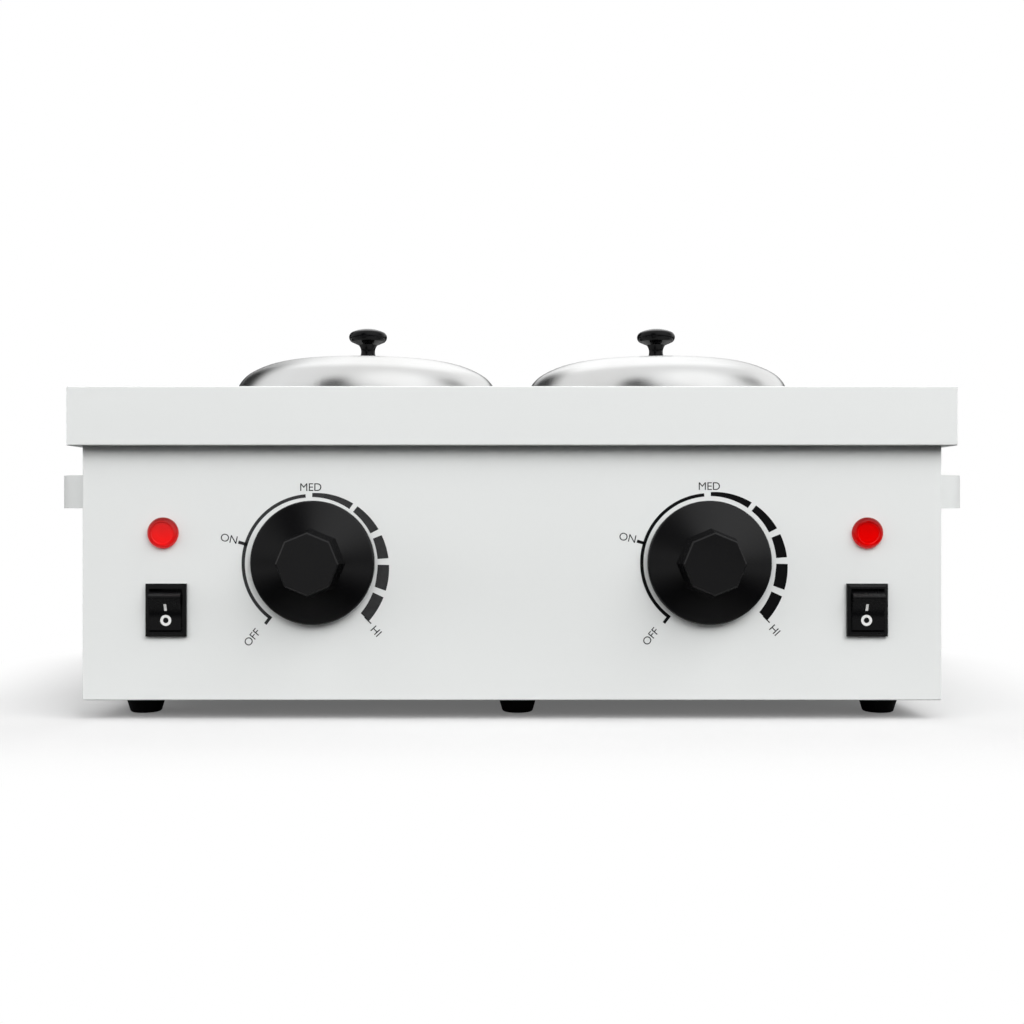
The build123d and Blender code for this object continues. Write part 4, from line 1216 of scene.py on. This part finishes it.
@dataclass
class Studio:
    """A white floor, a big soft lamp in front on the right, and weaker ones round the rest.

    The camera sees the floor as floor_seen and floor_lift, matt surfaces as floor_bounce and
    gloss as floor_mirrored. Reach is measured from a rectangle with shadow_half as half sizes:
    over fade the floor turns white, over far_rise the far floor comes up in gloss, and over
    far_fall it goes from one level of far_mirrored to the other.
    """

    floor_size: float = 12.0
    floor_seen: float = 0.65
    floor_lift: float = 0.07
    floor_bounce: float = 0.18
    floor_mirrored: float = 0.38
    far_mirrored: Point = (0.55, 0.0)
    far_rise: Point = (0.12, 0.45)
    far_fall: Point = (0.6, 1.4)
    shadow_half: Axes = (0.185, 0.105, 0.0)
    fade: Point = (-0.02, 0.11)
    sky: Point = (0.26, 0.0)
    room: float = 0.80
    patches: tuple[Patch, ...] = (
        Patch(-45.0, -8.0, 52.0, 30.0, 0.5, 0.42),
        Patch(20.0, -10.0, 34.0, 34.0, 0.3, 0.09),
        Patch(38.0, 42.0, 38.0, 50.0, 0.4, 1.06),
        Patch(-20.0, 16.0, 26.0, 20.0, 0.3, 0.08),
        Patch(180.0, 46.0, 36.0, 34.0, 0.5, 1.19),
        Patch(136.0, 20.0, 34.0, 30.0, 0.5, 0.92),
        Patch(-26.0, 28.0, 18.0, 34.0, 0.2, 0.06),
        Patch(95.0, 30.0, 18.0, 24.0, 0.1, 0.30),
        Patch(-138.0, 21.0, 35.0, 28.0, 0.3, 0.02, -24.0),
        Patch(180.0, 4.0, 75.0, 15.0, 0.6, 0.0),
        Patch(-16.0, -2.0, 13.0, 13.0, 0.4, 0.8),
    )
    lamps: tuple[Lamp, ...] = (
        Lamp("key", 44.0, 42.0, 2.2, 69.0),
        Lamp("front", 4.0, 36.0, 1.8, 14.0),
        Lamp("fill", -40.0, 39.0, 2.0, 31.0),
        Lamp("left_side", -78.0, 8.0, 1.2, 22.0),
        Lamp("right_side", 86.0, 8.0, 1.2, 9.0),
        Lamp("left_rear", -152.0, 3.0, 1.6, 38.0),
        Lamp("right_rear", 152.0, 3.0, 1.6, 38.0),
    )

    def floor(self) -> None:
        """Makes the floor: white far off, with shadow near the warmer and little bounce."""
        bpy.ops.mesh.primitive_plane_add(size=self.floor_size)
        floor = Workbench.take("floor")
        material = bpy.data.materials.new("studio_floor")
        material.use_nodes = True
        nodes = Nodes(material.node_tree)
        nodes.tree.nodes.clear()
        path = nodes.add("ShaderNodeLightPath").outputs
        seen, gloss = path["Is Camera Ray"], path["Is Glossy Ray"]
        place = nodes.add("ShaderNodeTexCoord").outputs["Object"]
        beyond = nodes.vector("SUBTRACT", nodes.vector("ABSOLUTE", place), self.shadow_half)
        reach = nodes.vector("LENGTH", nodes.vector("MAXIMUM", beyond))
        unseen = nodes.span(gloss, self.floor_bounce, self.floor_mirrored, 0.0, 1.0)
        paint = nodes.add("ShaderNodeBsdfDiffuse", {
            "Color": nodes.span(seen, unseen, self.floor_seen, 0.0, 1.0)})
        lift = nodes.add("ShaderNodeEmission", {
            "Strength": nodes.math("MULTIPLY", seen, self.floor_lift)})
        near = nodes.add("ShaderNodeAddShader", {
            0: paint.outputs["BSDF"], 1: lift.outputs["Emission"]})
        pool = nodes.math("MULTIPLY", nodes.span(reach, 0.0, 1.0, *self.far_rise),
                         nodes.span(reach, *self.far_mirrored, *self.far_fall))
        clear = nodes.math("MAXIMUM", seen, path["Is Transmission Ray"])
        white = nodes.add("ShaderNodeEmission", {
            "Strength": nodes.math("ADD", clear, nodes.math("MULTIPLY", gloss, pool))})
        both_parts = nodes.add("ShaderNodeMixShader", {
            0: nodes.span(reach, 0.0, 1.0, *self.fade, interpolation_type="SMOOTHSTEP"),
            1: near.outputs["Shader"], 2: white.outputs["Emission"]})
        nodes.add("ShaderNodeOutputMaterial", {"Surface": both_parts.outputs["Shader"]})
        floor.data.materials.append(material)

    def build(self) -> None:
        """Sets up the whole studio."""
        Surroundings(self.sky, self.room, self.patches)
        self.floor()
        for lamp in self.lamps:
            lamp.build()


@dataclass(frozen=True)
class Viewpoint:
    """The camera, level and straight on, as the picture was taken."""

    place: Axes = (0.0, -614.9 * MM, 87.0 * MM)
    lens: float = 43.95
    near: float = 10.0 * MM

    def build(self) -> None:
        """Makes the camera."""
        data = bpy.data.cameras.new("camera")
        adjust(data, lens=self.lens, clip_start=self.near)
        camera = hang("camera", data)
        adjust(camera, location=self.place, rotation_euler=(math.radians(90), 0.0, 0.0))
        bpy.context.scene.camera = camera


# The ink of each scale and its middle on the panel, X and Z in millimetres.
SCALES = {Side.LEFT: (SCALE_GREY, (-83.74, 65.49)), Side.RIGHT: (SCALE_BLACK, (82.4, 65.9))}
# How far the marks of each rocker lie to the right of its middle.
MARK_SHIFTS = {Side.LEFT: 0.25 * MM, Side.RIGHT: -0.7 * MM}


def main() -> None:
    """Builds every sub-assembly, the studio and the camera."""
    logging.basicConfig(level=logging.INFO, format="%(message)s")
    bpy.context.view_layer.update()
    bpy.context.scene.view_settings.view_transform = "Standard"
    bench = Workbench()
    Housing(bench).dress()
    for side, (ink, centre) in SCALES.items():
        DialPrint(side, bench, ink, centre).build()
    for side, shift in MARK_SHIFTS.items():
        RockerMarks(side, bench, shift).build()
    Fasteners(bench).build()
    Studio().build()
    Viewpoint().build()


if __name__ == "__main__":
    main()
